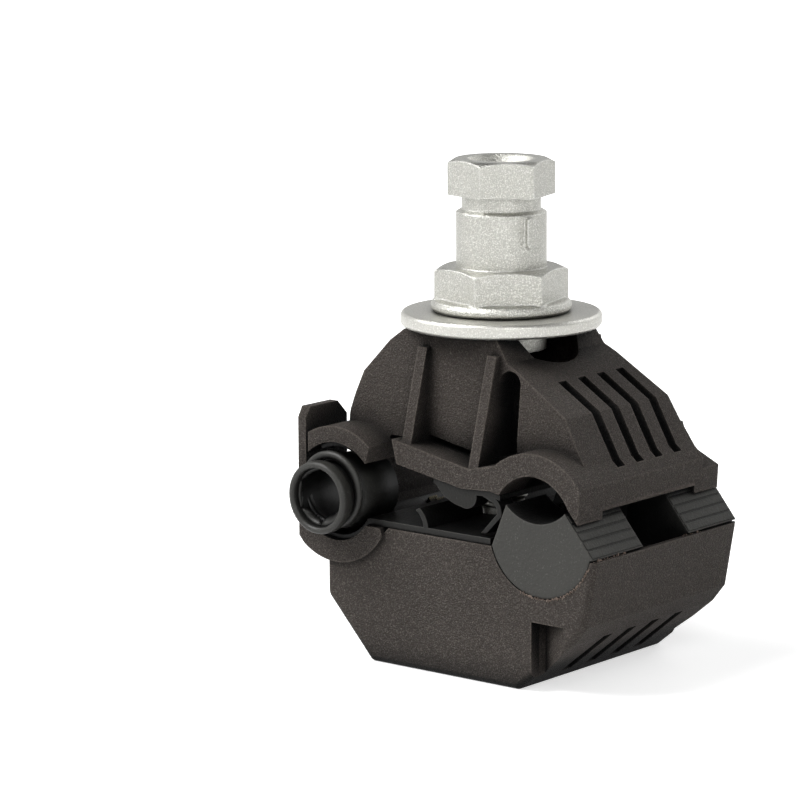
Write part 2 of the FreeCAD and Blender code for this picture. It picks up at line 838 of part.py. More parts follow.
def buildBolt():
    body = makeBody("clamp_bolt")
    head = makeSketch(body, "boltHead", "XY")
    drawHexagon(head, size["headFlats"], 0)
    pad(body, head, size["headHeight"], "One side")
    shank = makeSketch(body, "boltShank", "XY")
    drawCircle(shank, 0, 0, size["boltRadius"])
    pad(body, shank, size["boltTop"], "One side")
    return body


def buildLowerMainSeal():
    body = makeBody("lower_main_seal")
    radius = size["sealBore"] - size["seat"]
    foot = size["wallTop"] + 0.1
    reach = root(radius * radius - (sealZ - foot) * (sealZ - foot))
    tipCentre = sealX - 0.7
    outline = makeSketch(body, "sealWedge", "XZ")
    drawOutline(outline, [
        (sealX - reach, foot, radius, 1),
        (sealX + reach, foot),
        (size["rightWall"] - 0.2, size["sealFoot"]),
        (tipCentre + size["sealTipSpread"], size["sealTip"], size["sealHollow"], -1),
        (tipCentre - size["sealTipSpread"], size["sealTip"]),
    ])
    pad(body, outline, size["housingDepth"])
    gap = makeSketch(body, "sealWaist", "XZ")
    drawOutline(gap, [
        (sealX - 1.4, sealZ - 3.7),
        (size["rightWall"] + 1, sealZ - 3.7),
        (size["rightWall"] + 1, sealZ + 5),
        (sealX - 1.4, sealZ + 5),
    ])
    pocket(body, gap, size["sealGap"])
    play = size["bladePlay"]
    cutForBlades(body, "sealSlit", [
        (sealX - 8, size["bladeBottom"] - play),
        (mainX + 4.2 + play, size["bladeBottom"] - play),
        (mainX + 4.2 + play, sealZ + 5),
        (sealX - 8, sealZ + 5),
    ])
    return body


def buildUpperMainSeal():
    body = makeBody("upper_main_seal")
    inner = size["archBore"]
    outer = size["archBore"] + size["linerThickness"]
    liner = makeSketch(body, "liner", "XZ")
    startOuter = onCircle(mainX, mainZ, outer, 28)
    endInner = onCircle(mainX, mainZ, inner, 153)
    endOuter = onCircle(mainX, mainZ, outer, 153)
    startInner = onCircle(mainX, mainZ, inner, 28)
    drawOutline(liner, [
        (startInner[0], startInner[1]),
        (startOuter[0], startOuter[1], outer, 1),
        endOuter,
        (endInner[0], endInner[1], inner, -1),
    ])
    pad(body, liner, size["linerLength"])

    # strap under the flange, from the liner to the space between the grooves
    seat = size["seat"]
    strap = makeSketch(body, "strap", "XZ")
    strapRight = mainX - 4.6
    drawOutline(strap, [
        (strapRight, mainZ + 2.7 - seat),
        (mainX - 5.8, mainZ + 3.0 - seat),
        (mainX - 9.7, mainZ + 2.8 - seat),
        (mainX - 13.8, mainZ + 3.5 - seat),
        (mainX - 13.8, mainZ + 2.9 - seat),
        (mainX - 9.7, mainZ + 2.2 - seat),
        (mainX - 5.8, mainZ + 2.4 - seat),
        (strapRight, mainZ + 2.1 - seat),
    ])
    pad(body, strap, size["flangeDepth"] - 0.6)

    # round tongue and thin folded skirt that close the space at each end
    skirtLength = size["skirtLength"]
    tongue = makeSketch(body, "tongue", "XZ", halfFlange - 0.3)
    drawOutline(tongue, [
        (mainX - 13.6, mainZ + 3.0, 5.2, 1),
        (mainX - 9.9, mainZ + 0.7, 1.5, 1),
        (mainX - 7.9, mainZ + 2.6),
        (mainX - 9.7, mainZ + 2.7),
    ])
    tonguePad = pad(body, tongue, skirtLength, "One side", True)
    skirt = makeSketch(body, "skirt", "XZ", halfFlange - 0.3)
    skirtFoot = size["wallTop"] + size["matThickness"] + seat + size["gap"]
    drawOutline(skirt, [
        (mainX - 7.9, mainZ + 2.6),
        (mainX - 6.0, mainZ + 1.9, 1.3, -1),
        (mainX - 5.0, mainZ + 0.5),
        (mainX - 7.2, skirtFoot),
        (mainX - 6.5, skirtFoot),
        (mainX - 4.4, mainZ + 0.3, 1.9, 1),
        (mainX - 5.9, mainZ + 2.5),
    ])
    skirtPad = pad(body, skirt, skirtLength, "One side", True)
    mirror(body, [tonguePad, skirtPad], "XZ")

    strapHole = makeSketch(body, "strapHole", "XY")
    drawCircle(strapHole, 0, 0, size["boltHoleRadius"])
    pocket(body, strapHole)

    play = size["bladePlay"]
    cutForBlades(body, "linerSlit", [
        (mainX - size["upperTeethLeft"] - play, mainZ + 3),
        (mainX + size["upperTeethRight"] + play, mainZ + 3),
        (mainX + size["upperTeethRight"] + play, mainZ + 7),
        (mainX - size["upperTeethLeft"] - play, mainZ + 7),
    ])
    return body


def buildLowerBranchSeal():
    """A liner in the cradle that runs on as a thin mat over the wall between
    the grooves, with a curved lip."""
    body = makeBody("lower_branch_seal")
    seat = size["seat"]
    outer = size["cradleBore"] - seat
    inner = outer - size["branchLiner"]
    matBottom = size["wallTop"] + seat
    matTop = matBottom + size["matThickness"]
    matRight = sealX - root(size["sealBore"] * size["sealBore"] - 3.4) - 0.2
    lip = -size["lipOffset"]
    outline = makeSketch(body, "branchLiner", "XZ")
    leftOuter = onCircle(branchX, branchZ, outer, -128)
    leftInner = onCircle(branchX, branchZ, inner, -128)
    rightOuter = onCircle(branchX, branchZ, outer, -38)
    rightInner = onCircle(branchX, branchZ, inner, -30)
    drawOutline(outline, [
        (leftOuter[0], leftOuter[1], outer, 1),
        rightOuter,
        (rightOuter[0] + 0.12, matBottom),
        (matRight, matBottom),
        (matRight, matTop),
        (lip + 0.6, matTop, 3.0, 1),
        (lip - 0.6, matTop + 2.1),
        (lip - 1.1, matTop + 1.8, 2.6, -1),
        (lip, matTop),
        (rightInner[0] + 0.7, matTop),
        (rightInner[0], rightInner[1], inner, -1),
        leftInner,
    ])
    pad(body, outline, size["housingDepth"] - 0.4)
    boltHole = makeSketch(body, "matHole", "XY")
    drawCircle(boltHole, 0, 0, size["boltHoleRadius"])
    pocket(body, boltHole)
    play = size["bladePlay"]
    cutForBlades(body, "branchSlit", [
        (branchX - 2.2 - play, size["bladeBottom"]),
        (branchX + 4.2 + play, size["bladeBottom"]),
        (branchX + 4.2 + play, branchZ - 2.8),
        (branchX - 2.2 - play, branchZ - 2.8),
    ])
    cutForBlades(body, "crestSlit", [
        (mainX - 10.4, matBottom - 1),
        (matRight + 1, matBottom - 1),
        (matRight + 1, matTop + 1),
        (mainX - 10.4, matTop + 1),
    ])
    return body


def buildUpperBranchSeal():
    body = makeBody("upper_branch_seal")
    outer = size["hoodBore"] - size["seat"]
    inner = outer - size["branchLiner"]
    outline = makeSketch(body, "hoodLiner", "XZ")
    rightInner = onCircle(branchX, branchZ, inner, 46)
    rightOuter = onCircle(branchX, branchZ, outer, 46)
    leftInner = onCircle(branchX, branchZ, inner, 118)
    leftOuter = onCircle(branchX, branchZ, outer, 118)
    drawOutline(outline, [
        rightInner,
        (rightOuter[0], rightOuter[1], outer, 1),
        leftOuter,
        (leftInner[0], leftInner[1], inner, -1),
    ])
    pad(body, outline, size["housingDepth"] - 0.4)
    play = size["bladePlay"]
    cutForBlades(body, "hoodSlit", [
        (branchX - 1.9 - play, branchZ + 3),
        (branchX + 2.7 + play, branchZ + 3),
        (branchX + 2.7 + play, branchZ + 8),
        (branchX - 1.9 - play, branchZ + 8),
    ])
    return body


def teeth(fromX, toX, valley, tip, count):
    """A row of pointed teeth between two places, as outline corners."""
    corners = []
    step = (toX - fromX) / count
    for index in range(count):
        corners.append((fromX + step * index, valley))
        corners.append((fromX + step * (index + 0.5), tip))
    corners.append((toX, valley))
    return corners


def buildLowerBlade(label, side):
    """Toothed tinned copper plate: branch teeth, a low bar past the bolt, a
    crest between the grooves, main teeth."""
    body = makeBody(label)
    bottom = size["bladeBottom"]
    barTop = size["wallTop"] - 0.2
    branchTip = branchZ - size["tubeRadius"] + 0.6
    mainTip = size["sealTip"] - 0.9
    crestTip = mainZ + 0.2
    depth = size["toothDepth"]
    corners = [(branchX - 2.2, bottom), (mainX + 4.2, bottom)]
    corners += teeth(mainX + 4.2, mainX - 2.2, mainTip - depth, mainTip, 5)
    corners += teeth(mainX - 4.0, mainX - 8.2, crestTip - depth, crestTip, 4)
    corners += [(mainX - 9.8, barTop), (branchX + 4.0, barTop)]
    corners += teeth(branchX + 2.2, branchX - 2.2, branchTip - depth, branchTip, 4)
    outline = makeSketch(body, label + "Outline", "XZ", side * halfBlades)
    drawOutline(outline, corners)
    pad(body, outline, size["bladeThickness"])
    return body


def buildUpperBlade(label, side):
    body = makeBody(label)
    top = size["bladeTop"]
    barBottom = top - 1.9
    branchTip = branchZ + size["tubeRadius"] - 0.3
    mainTip = mainZ + size["archBore"] - 0.9
    depth = size["toothDepth"]
    corners = teeth(branchX - 1.9, branchX + 1.9, branchTip + depth, branchTip, 3)
    left = mainX - size["upperTeethLeft"]
    right = mainX + size["upperTeethRight"]
    corners += [(branchX + 5.7, barBottom), (left - 0.4, barBottom)]
    corners += teeth(left, right, mainTip + depth, mainTip, 5)
    corners += [(right, top), (branchX + 2.1, top), (branchX - 1.9, top - 1.0)]
    outline = makeSketch(body, label + "Outline", "XZ", side * halfBlades)
    drawOutline(outline, corners)
    pad(body, outline, size["bladeThickness"])
    return body


def buildSleeve():
    body = makeBody("branch_sleeve")
    profile = makeSketch(body, "sleeveProfile", "XY")
    front = -size["collarFront"]
    collarBack = front + size["collarLength"]
    grooveBack = collarBack + size["grooveLength"]
    beadBack = grooveBack + size["beadLength"]
    tubeBack = beadBack + size["tubeLength"]
    drawOutline(profile, [
        (size["collarBore"], front + 0.3),
        (size["collarBore"] + 0.3, front),
        (size["collarRadius"] - 0.4, front),
        (size["collarRadius"], front + 0.4),
        (size["collarRadius"], collarBack - 0.2),
        (size["collarRadius"] - 0.2, collarBack),
        (size["grooveRadius"], collarBack),
        (size["grooveRadius"], grooveBack),
        (size["beadRadius"] - 0.3, grooveBack),
        (size["beadRadius"], grooveBack + 0.3),
        (size["beadRadius"], beadBack - 0.1),
        (size["tubeRadius"] - 0.4, beadBack + 0.3),
        (size["tubeRadius"], beadBack + 2.2),
        (size["tubeRadius"], tubeBack),
        (size["tubeBore"], tubeBack),
        (size["tubeBore"], beadBack + 1.5),
        (size["collarBore"], beadBack + 0.5),
    ])
    revolve(body, profile, "Y")
    # slit membrane inside, six petals round a small hole
    membrane = makeSketch(body, "membrane", "XZ", -(grooveBack - size["petalThickness"]))
    drawCircle(membrane, 0, 0, size["collarBore"] + 0.2)
    drawCircle(membrane, 0, 0, size["petalHole"])
    pad(body, membrane, size["petalThickness"], "One side", True)
    slit = makeSketch(body, "petalSlit", "XZ", -(grooveBack - size["petalThickness"] - 0.2))
    halfSlit = size["petalSlit"] / 2
    drawOutline(slit, [
        (size["petalHole"] - 0.3, -halfSlit),
        (size["collarBore"] - 0.1, -halfSlit),
        (size["collarBore"] - 0.1, halfSlit),
        (size["petalHole"] - 0.3, halfSlit),
    ])
    slitCut = pocket(body, slit, size["petalThickness"] + 0.4, "One side")
    petals = body.newObject("PartDesign::PolarPattern", "petals")
    petals.Originals = [slitCut]
    petals.Axis = (originFeature(body, "Y_Axis"), [""])
    petals.Angle = 360
    petals.Occurrences = 6
    body.Tip = petals
    body.Placement = Placement(Vector(branchX.value, 0, branchZ.value), Rotation())
    body.setExpression("Placement.Base.x", branchX.text)
    body.setExpression("Placement.Base.z", branchZ.text)
    return body


pieces = [
    buildLowerBody(),
    buildUpperBody(),
    buildNut(),
    buildWasher(),
    buildBolt(),
    buildLowerMainSeal(),
    buildUpperMainSeal(),
    buildLowerBranchSeal(),
    buildUpperBranchSeal(),
    buildLowerBlade("front_lower_blade", 1),
    buildLowerBlade("rear_lower_blade", -1),
    buildUpperBlade("front_upper_blade", 1),
    buildUpperBlade("rear_upper_blade", -1),
    buildSleeve(),
]
doc.recompute()

for item in doc.Objects:
    if "Invalid" in item.State or "Error" in item.State:
        raise RuntimeError(f"{item.Name} failed: {item.State}")
for piece in pieces:
    if piece.Shape.isNull() or not piece.Shape.isValid():
        raise RuntimeError(f"{piece.Label} has no valid shape")

os.makedirs("parts", exist_ok=True)
for piece in pieces:
    box = piece.Shape.BoundBox
    print(piece.Label, len(piece.Shape.Solids), round(piece.Shape.Volume, 1), [round(v, 2) for v in (
        box.XMin, box.XMax, box.YMin, box.YMax, box.ZMin, box.ZMax)])
    piece.Shape.exportStep(f"parts/{piece.Label}.step")
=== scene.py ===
import json
import math

import bmesh
import bpy
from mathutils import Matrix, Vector


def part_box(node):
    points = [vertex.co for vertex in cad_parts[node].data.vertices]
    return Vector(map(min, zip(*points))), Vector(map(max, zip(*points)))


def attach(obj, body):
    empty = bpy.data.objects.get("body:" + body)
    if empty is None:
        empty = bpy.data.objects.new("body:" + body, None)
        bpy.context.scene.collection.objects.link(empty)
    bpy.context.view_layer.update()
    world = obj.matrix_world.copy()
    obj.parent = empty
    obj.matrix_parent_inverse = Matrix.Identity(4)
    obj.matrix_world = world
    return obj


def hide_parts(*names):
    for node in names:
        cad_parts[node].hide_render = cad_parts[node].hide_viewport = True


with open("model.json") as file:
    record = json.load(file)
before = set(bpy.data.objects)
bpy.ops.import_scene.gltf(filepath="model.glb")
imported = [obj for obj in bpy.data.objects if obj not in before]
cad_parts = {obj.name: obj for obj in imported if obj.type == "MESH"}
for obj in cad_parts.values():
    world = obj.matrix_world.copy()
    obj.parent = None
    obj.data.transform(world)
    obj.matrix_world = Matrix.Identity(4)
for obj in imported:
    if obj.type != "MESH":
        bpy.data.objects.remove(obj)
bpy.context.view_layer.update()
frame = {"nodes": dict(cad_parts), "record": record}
nodes = frame["nodes"]
mm = 0.001  # metres
print("frame loaded:", len(nodes), "pieces from the CAD model")


# A shader node group with named inputs and outputs, and its two end nodes
def newGroup(name, inputs, outputs):
    group = bpy.data.node_groups.new(name, "ShaderNodeTree")
    for label, kind, value in inputs:
        socket = group.interface.new_socket(label, in_out="INPUT", socket_type=kind)
        if value is not None:
            socket.default_value = value
    for label, kind in outputs:
        group.interface.new_socket(label, in_out="OUTPUT", socket_type=kind)
    start = group.nodes.new("NodeGroupInput")
    finish = group.nodes.new("NodeGroupOutput")
    return group, start, finish


# A value given as a number is set on the socket, and an output is linked to it
def mathNode(tree, operation, first, second=None, third=None, clamp=False):
    node = tree.nodes.new("ShaderNodeMath")
    node.operation = operation
    node.use_clamp = clamp
    for index, value in enumerate((first, second, third)):
        if value is None:
            continue
        if isinstance(value, (int, float)):
            node.inputs[index].default_value = value
        else:
            tree.links.new(value, node.inputs[index])
    return node.outputs[0]


def mixColor(tree, factor, first, second):
    node = tree.nodes.new("ShaderNodeMix")
    node.data_type = "RGBA"
    near, far = [socket for socket in node.inputs if socket.type == "RGBA"]
    for socket, value in ((node.inputs["Factor"], factor), (near, first), (far, second)):
        if isinstance(value, (int, float, tuple)):
            socket.default_value = value
        else:
            tree.links.new(value, socket)
    return [socket for socket in node.outputs if socket.type == "RGBA"][0]


# Sizes of pits and specks are shares of the grain size, which is in mm
grainShape = {
    "fineDetail": 3.0, "fineRoughness": 0.6, "pitScale": 0.8, "pitSoftness": 0.6, "pitHeight": 0.6,
    "speckScale": 1.3, "speckDetail": 1.0, "cloudDetail": 4.0,
}


# Moulded or cast grain: fine pits and specks, the same on every side of a piece
def makeGrainGroup():
    group, start, finish = newGroup(
        "mouldGrain",
        [("Grain size", "NodeSocketFloat", 0.25), ("Cloud size", "NodeSocketFloat", 4.0),
         ("Speck level", "NodeSocketFloat", 0.5), ("Speck gain", "NodeSocketFloat", 5.0)],
        [("Height", "NodeSocketFloat"), ("Specks", "NodeSocketFloat"), ("Clouds", "NodeSocketFloat")],
    )
    place = group.nodes.new("ShaderNodeTexCoord").outputs["Object"]
    scale = mathNode(group, "DIVIDE", 1.0 / mm, start.outputs["Grain size"])
    fine = group.nodes.new("ShaderNodeTexNoise")
    fine.inputs["Detail"].default_value = grainShape["fineDetail"]
    fine.inputs["Roughness"].default_value = grainShape["fineRoughness"]
    group.links.new(place, fine.inputs["Vector"])
    group.links.new(scale, fine.inputs["Scale"])
    pits = group.nodes.new("ShaderNodeTexVoronoi")
    pits.feature = "SMOOTH_F1"
    pits.inputs["Smoothness"].default_value = grainShape["pitSoftness"]
    group.links.new(place, pits.inputs["Vector"])
    group.links.new(mathNode(group, "MULTIPLY", scale, grainShape["pitScale"]), pits.inputs["Scale"])
    depth = mathNode(group, "MULTIPLY", pits.outputs["Distance"], grainShape["pitHeight"])
    group.links.new(mathNode(group, "ADD", fine.outputs[0], depth), finish.inputs["Height"])
    speck = group.nodes.new("ShaderNodeTexNoise")
    speck.inputs["Detail"].default_value = grainShape["speckDetail"]
    group.links.new(place, speck.inputs["Vector"])
    group.links.new(mathNode(group, "MULTIPLY", scale, grainShape["speckScale"]), speck.inputs["Scale"])
    lifted = mathNode(group, "SUBTRACT", speck.outputs[0], start.outputs["Speck level"])
    specks = mathNode(group, "MULTIPLY", lifted, start.outputs["Speck gain"], clamp=True)
    group.links.new(specks, finish.inputs["Specks"])
    cloud = group.nodes.new("ShaderNodeTexNoise")
    cloud.inputs["Detail"].default_value = grainShape["cloudDetail"]
    group.links.new(place, cloud.inputs["Vector"])
    cloudScale = mathNode(group, "DIVIDE", 1.0 / mm, start.outputs["Cloud size"])
    group.links.new(cloudScale, cloud.inputs["Scale"])
    group.links.new(cloud.outputs[0], finish.inputs["Clouds"])
    return group


# Edge wear and painted highlight: how far the rounded normal leans away from the true one
def makeEdgeGroup():
    group, start, finish = newGroup(
        "edgeWearAndHighlight",
        [("Width", "NodeSocketFloat", 0.0004), ("Strength", "NodeSocketFloat", 4.0)],
        [("Wear and highlight", "NodeSocketFloat"), ("Soft normal", "NodeSocketVector")],
    )
    bevel = group.nodes.new("ShaderNodeBevel")
    bevel.samples = 6
    group.links.new(start.outputs["Width"], bevel.inputs["Radius"])
    geometry = group.nodes.new("ShaderNodeNewGeometry")
    dot = group.nodes.new("ShaderNodeVectorMath")
    dot.operation = "DOT_PRODUCT"
    group.links.new(bevel.outputs["Normal"], dot.inputs[0])
    group.links.new(geometry.outputs["Normal"], dot.inputs[1])
    lean = mathNode(group, "SUBTRACT", 1.0, dot.outputs["Value"])
    wearAndHighlight = mathNode(group, "MULTIPLY", lean, start.outputs["Strength"], clamp=True)
    group.links.new(wearAndHighlight, finish.inputs["Wear and highlight"])
    group.links.new(bevel.outputs["Normal"], finish.inputs["Soft normal"])
    return group


# Painted shade in deep places: 1 on open faces, 0 far inside the gaps and slots
def makeShadeGroup():
    group, start, finish = newGroup(
        "deepShade",
        [("Reach", "NodeSocketFloat", 0.0045), ("Floor", "NodeSocketFloat", 0.2),
         ("Gain", "NodeSocketFloat", 1.5)],
        [("Open", "NodeSocketFloat")],
    )
    hidden = group.nodes.new("ShaderNodeAmbientOcclusion")
    hidden.samples = 8
    group.links.new(start.outputs["Reach"], hidden.inputs["Distance"])
    lifted = mathNode(group, "SUBTRACT", hidden.outputs["AO"], start.outputs["Floor"])
    opened = mathNode(group, "MULTIPLY", lifted, start.outputs["Gain"], clamp=True)
    group.links.new(opened, finish.inputs["Open"])
    return group


grainGroup = makeGrainGroup()
edgeGroup = makeEdgeGroup()
shadeGroup = makeShadeGroup()

# Grain and cloud sizes are in mm; bump, edge width and shade reach in metres
finishes = {
    "housingPlastic": {
        "color": (0.038, 0.032, 0.028), "cloudColor": (0.056, 0.048, 0.0425),
        "speckColor": (0.15, 0.132, 0.118), "edgeWearHighlightColor": (0.22, 0.19, 0.165),
        "metallic": 0.0, "roughness": 0.62, "specular": 0.14,
        "grain": 0.17, "cloud": 9.0, "speckLevel": 0.5, "speckGain": 3.2, "bump": 0.0003,
        "edgeWidth": 0.00045, "edgeWearHighlightStrength": 3.2,
        "shadeReach": 0.0045, "shadeFloor": 0.42, "shadeGain": 2.0,
    },
    "chippedPlastic": {
        "color": (0.13, 0.092, 0.072), "cloudColor": (0.2, 0.15, 0.12),
        "speckColor": (0.4, 0.34, 0.3), "edgeWearHighlightColor": (0.3, 0.24, 0.2),
        "metallic": 0.0, "roughness": 0.6, "specular": 0.2,
        "grain": 0.2, "cloud": 1.5, "speckLevel": 0.5, "speckGain": 3.0, "bump": 0.0002,
        "edgeWidth": 0.0001, "edgeWearHighlightStrength": 2.0,
        "shadeReach": 0.0045, "shadeFloor": 0.3, "shadeGain": 2.0,
    },
    "sealRubber": {
        "color": (0.041, 0.0403, 0.0368), "cloudColor": (0.052, 0.0512, 0.047),
        "speckColor": (0.13, 0.128, 0.118), "edgeWearHighlightColor": (0.14, 0.137, 0.125),
        "metallic": 0.0, "roughness": 0.6, "specular": 0.22,
        "grain": 0.26, "cloud": 5.0, "speckLevel": 0.65, "speckGain": 4.0, "bump": 0.00006,
        "edgeWidth": 0.0003, "edgeWearHighlightStrength": 1.8,
        "shadeReach": 0.009, "shadeFloor": 0.5, "shadeGain": 2.2,
    },
    # The seal rubber painted darker, as shade on the seals inside the housings
    "innerRubberPaintedShade": {
        "color": (0.011, 0.0108, 0.0098), "cloudColor": (0.016, 0.0157, 0.0142),
        "speckColor": (0.05, 0.049, 0.045), "edgeWearHighlightColor": (0.16, 0.158, 0.146),
        "metallic": 0.0, "roughness": 0.5, "specular": 0.22,
        "grain": 0.26, "cloud": 4.0, "speckLevel": 0.68, "speckGain": 3.0, "bump": 0.00004,
        "edgeWidth": 0.0002, "edgeWearHighlightStrength": 2.4,
        "shadeReach": 0.01, "shadeFloor": 0.5, "shadeGain": 2.2,
    },
    "sleeveRubber": {
        "color": (0.026, 0.0255, 0.023), "cloudColor": (0.036, 0.0355, 0.032),
        "speckColor": (0.08, 0.079, 0.072), "edgeWearHighlightColor": (0.12, 0.119, 0.11),
        "metallic": 0.0, "roughness": 0.45, "specular": 0.35,
        "grain": 0.25, "cloud": 4.0, "speckLevel": 0.6, "speckGain": 3.0, "bump": 0.000015,
        "edgeWidth": 0.0003, "edgeWearHighlightStrength": 1.0,
        "shadeReach": 0.008, "shadeFloor": 0.42, "shadeGain": 2.0,
    },
    "castZinc": {
        "color": (0.41, 0.41, 0.375), "cloudColor": (0.5, 0.495, 0.457),
        "speckColor": (0.74, 0.735, 0.69), "edgeWearHighlightColor": (0.97, 0.97, 0.95),
        "metallic": 1.0, "roughness": 0.36, "specular": 0.5,
        "grain": 0.18, "cloud": 3.0, "speckLevel": 0.47, "speckGain": 4.2, "bump": 0.00009,
        "edgeWidth": 0.0003, "edgeWearHighlightStrength": 3.0,
        "shadeReach": 0.0045, "shadeFloor": -0.3, "shadeGain": 1.1,
    },
    "platedSteel": {
        "color": (0.54, 0.535, 0.495), "cloudColor": (0.62, 0.612, 0.57),
        "speckColor": (0.82, 0.815, 0.77), "edgeWearHighlightColor": (0.9, 0.9, 0.87),
        "metallic": 1.0, "roughness": 0.4, "specular": 0.5,
        "grain": 0.19, "cloud": 5.0, "speckLevel": 0.5, "speckGain": 3.6, "bump": 0.00005,
        "edgeWidth": 0.0003, "edgeWearHighlightStrength": 1.6,
        "shadeReach": 0.006, "shadeFloor": 0.0, "shadeGain": 1.25,
    },
    "contactMetal": {
        "color": (0.52, 0.42, 0.2), "cloudColor": (0.6, 0.52, 0.3),
        "speckColor": (0.7, 0.64, 0.42), "edgeWearHighlightColor": (0.78, 0.7, 0.45),
        "metallic": 1.0, "roughness": 0.34, "specular": 0.5,
        "grain": 0.25, "cloud": 3.0, "speckLevel": 0.56, "speckGain": 3.0, "bump": 0.00002,
        "edgeWidth": 0.0002, "edgeWearHighlightStrength": 1.2,
        "shadeReach": 0.01, "shadeFloor": 0.5, "shadeGain": 2.2,
    },
}
roughnessSpread = 0.16  # how far the clouds vary a finish's roughness
black = (0.0, 0.0, 0.0, 1.0)


def makeFinish(name):
    look = finishes[name]
    material = bpy.data.materials.new(name)
    material.use_nodes = True
    tree = material.node_tree
    shader = tree.nodes["Principled BSDF"]
    grain = tree.nodes.new("ShaderNodeGroup")
    grain.node_tree = grainGroup
    grain.inputs["Grain size"].default_value = look["grain"]
    grain.inputs["Cloud size"].default_value = look["cloud"]
    grain.inputs["Speck level"].default_value = look["speckLevel"]
    grain.inputs["Speck gain"].default_value = look["speckGain"]
    edge = tree.nodes.new("ShaderNodeGroup")
    edge.node_tree = edgeGroup
    edge.inputs["Width"].default_value = look["edgeWidth"]
    edge.inputs["Strength"].default_value = look["edgeWearHighlightStrength"]
    color = mixColor(tree, grain.outputs["Clouds"], look["color"] + (1.0,), look["cloudColor"] + (1.0,))
    color = mixColor(tree, grain.outputs["Specks"], color, look["speckColor"] + (1.0,))
    # Lighter edge colour: partly wear, partly a painted highlight, bright lines along the metal edges
    edgeWearHighlight = mathNode(tree, "MULTIPLY", edge.outputs["Wear and highlight"], grain.outputs["Clouds"])
    color = mixColor(tree, edgeWearHighlight, color, look["edgeWearHighlightColor"] + (1.0,))
    shade = tree.nodes.new("ShaderNodeGroup")
    shade.node_tree = shadeGroup
    shade.inputs["Reach"].default_value = look["shadeReach"]
    shade.inputs["Floor"].default_value = look["shadeFloor"]
    shade.inputs["Gain"].default_value = look["shadeGain"]
    # Painted shade: the base colour is mixed towards black where the occlusion mask finds deep places
    color = mixColor(tree, shade.outputs["Open"], black, color)
    tree.links.new(color, shader.inputs["Base Color"])
    shader.inputs["Metallic"].default_value = look["metallic"]
    shader.inputs["Specular IOR Level"].default_value = look["specular"]
    smoothest = look["roughness"] - roughnessSpread / 2
    rough = mathNode(tree, "MULTIPLY_ADD", grain.outputs["Clouds"], roughnessSpread, smoothest)
    tree.links.new(rough, shader.inputs["Roughness"])
    bump = tree.nodes.new("ShaderNodeBump")
    bump.inputs["Strength"].default_value = 1.0
    bump.inputs["Distance"].default_value = look["bump"]
    tree.links.new(grain.outputs["Height"], bump.inputs["Height"])
    tree.links.new(edge.outputs["Soft normal"], bump.inputs["Normal"])
    tree.links.new(bump.outputs["Normal"], shader.inputs["Normal"])
    return material


materials = {name: makeFinish(name) for name in finishes}
print("finishes made:", ", ".join(materials))


# The finish of each CAD node
nodeFinish = {
    "lower_body": "housingPlastic", "upper_body": "housingPlastic",
    "shear_nut": "castZinc", "flat_washer": "platedSteel", "clamp_bolt": "platedSteel",
    # Seals inside the housings take the darker rubber, which is painted shade
    "lower_main_seal": "sealRubber", "upper_main_seal": "innerRubberPaintedShade",
    "lower_branch_seal": "innerRubberPaintedShade", "upper_branch_seal": "innerRubberPaintedShade",
    "front_lower_blade": "contactMetal", "rear_lower_blade": "contactMetal",
    "front_upper_blade": "contactMetal", "rear_upper_blade": "contactMetal",
    "branch_sleeve": "sleeveRubber",
}


# Merging distance in mm, and the angles in degrees that count as flat and as an edge
copying = {"mergeWithin": 0.002, "flatWithin": 0.5, "sharpest": 28.0}


def bodyOf(node):
    for body, members in frame["record"]["behaviour"]["bodies"].items():
        if node in members:
            return body
    return None


def addSoftEdges(piece, width, segments, angle):
    bevel = piece.modifiers.new("softEdges", "BEVEL")
    bevel.width = width
    bevel.segments = segments
    bevel.limit_method = "ANGLE"
    bevel.angle_limit = math.radians(angle)
    weighted = piece.modifiers.new("evenShading", "WEIGHTED_NORMAL")
    weighted.keep_sharp = True


# A merged copy of a CAD node that stands for it, with rounded edges
def roundedCopy(node, name, width, segments, inset):
    source = nodes[node]
    mesh = source.data.copy()
    mesh.materials.clear()
    mesh.materials.append(materials[nodeFinish[node]])
    work = bmesh.new()
    work.from_mesh(mesh)
    bmesh.ops.remove_doubles(work, verts=work.verts, dist=copying["mergeWithin"] * mm)
    flat = math.radians(copying["flatWithin"])
    bmesh.ops.dissolve_limit(work, angle_limit=flat, verts=work.verts, edges=work.edges)
    for face in work.faces:
        face.smooth = True
    work.to_mesh(mesh)
    work.free()
    piece = bpy.data.objects.new(name, mesh)
    bpy.context.scene.collection.objects.link(piece)
    if inset:
        seam = piece.modifiers.new("seam", "DISPLACE")
        seam.strength = -inset
        seam.mid_level = 0.0
    addSoftEdges(piece, width, segments, copying["sharpest"])
    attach(piece, bodyOf(node))
    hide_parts(node)
    return piece


# A new piece; stands names the CAD node that it stands for, if any
def plainObject(name, mesh, finish, body, stands):
    mesh.materials.clear()
    mesh.materials.append(materials[finish])
    piece = bpy.data.objects.new(name, mesh)
    bpy.context.scene.collection.objects.link(piece)
    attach(piece, body)
    if stands:
        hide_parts(stands)
    return piece


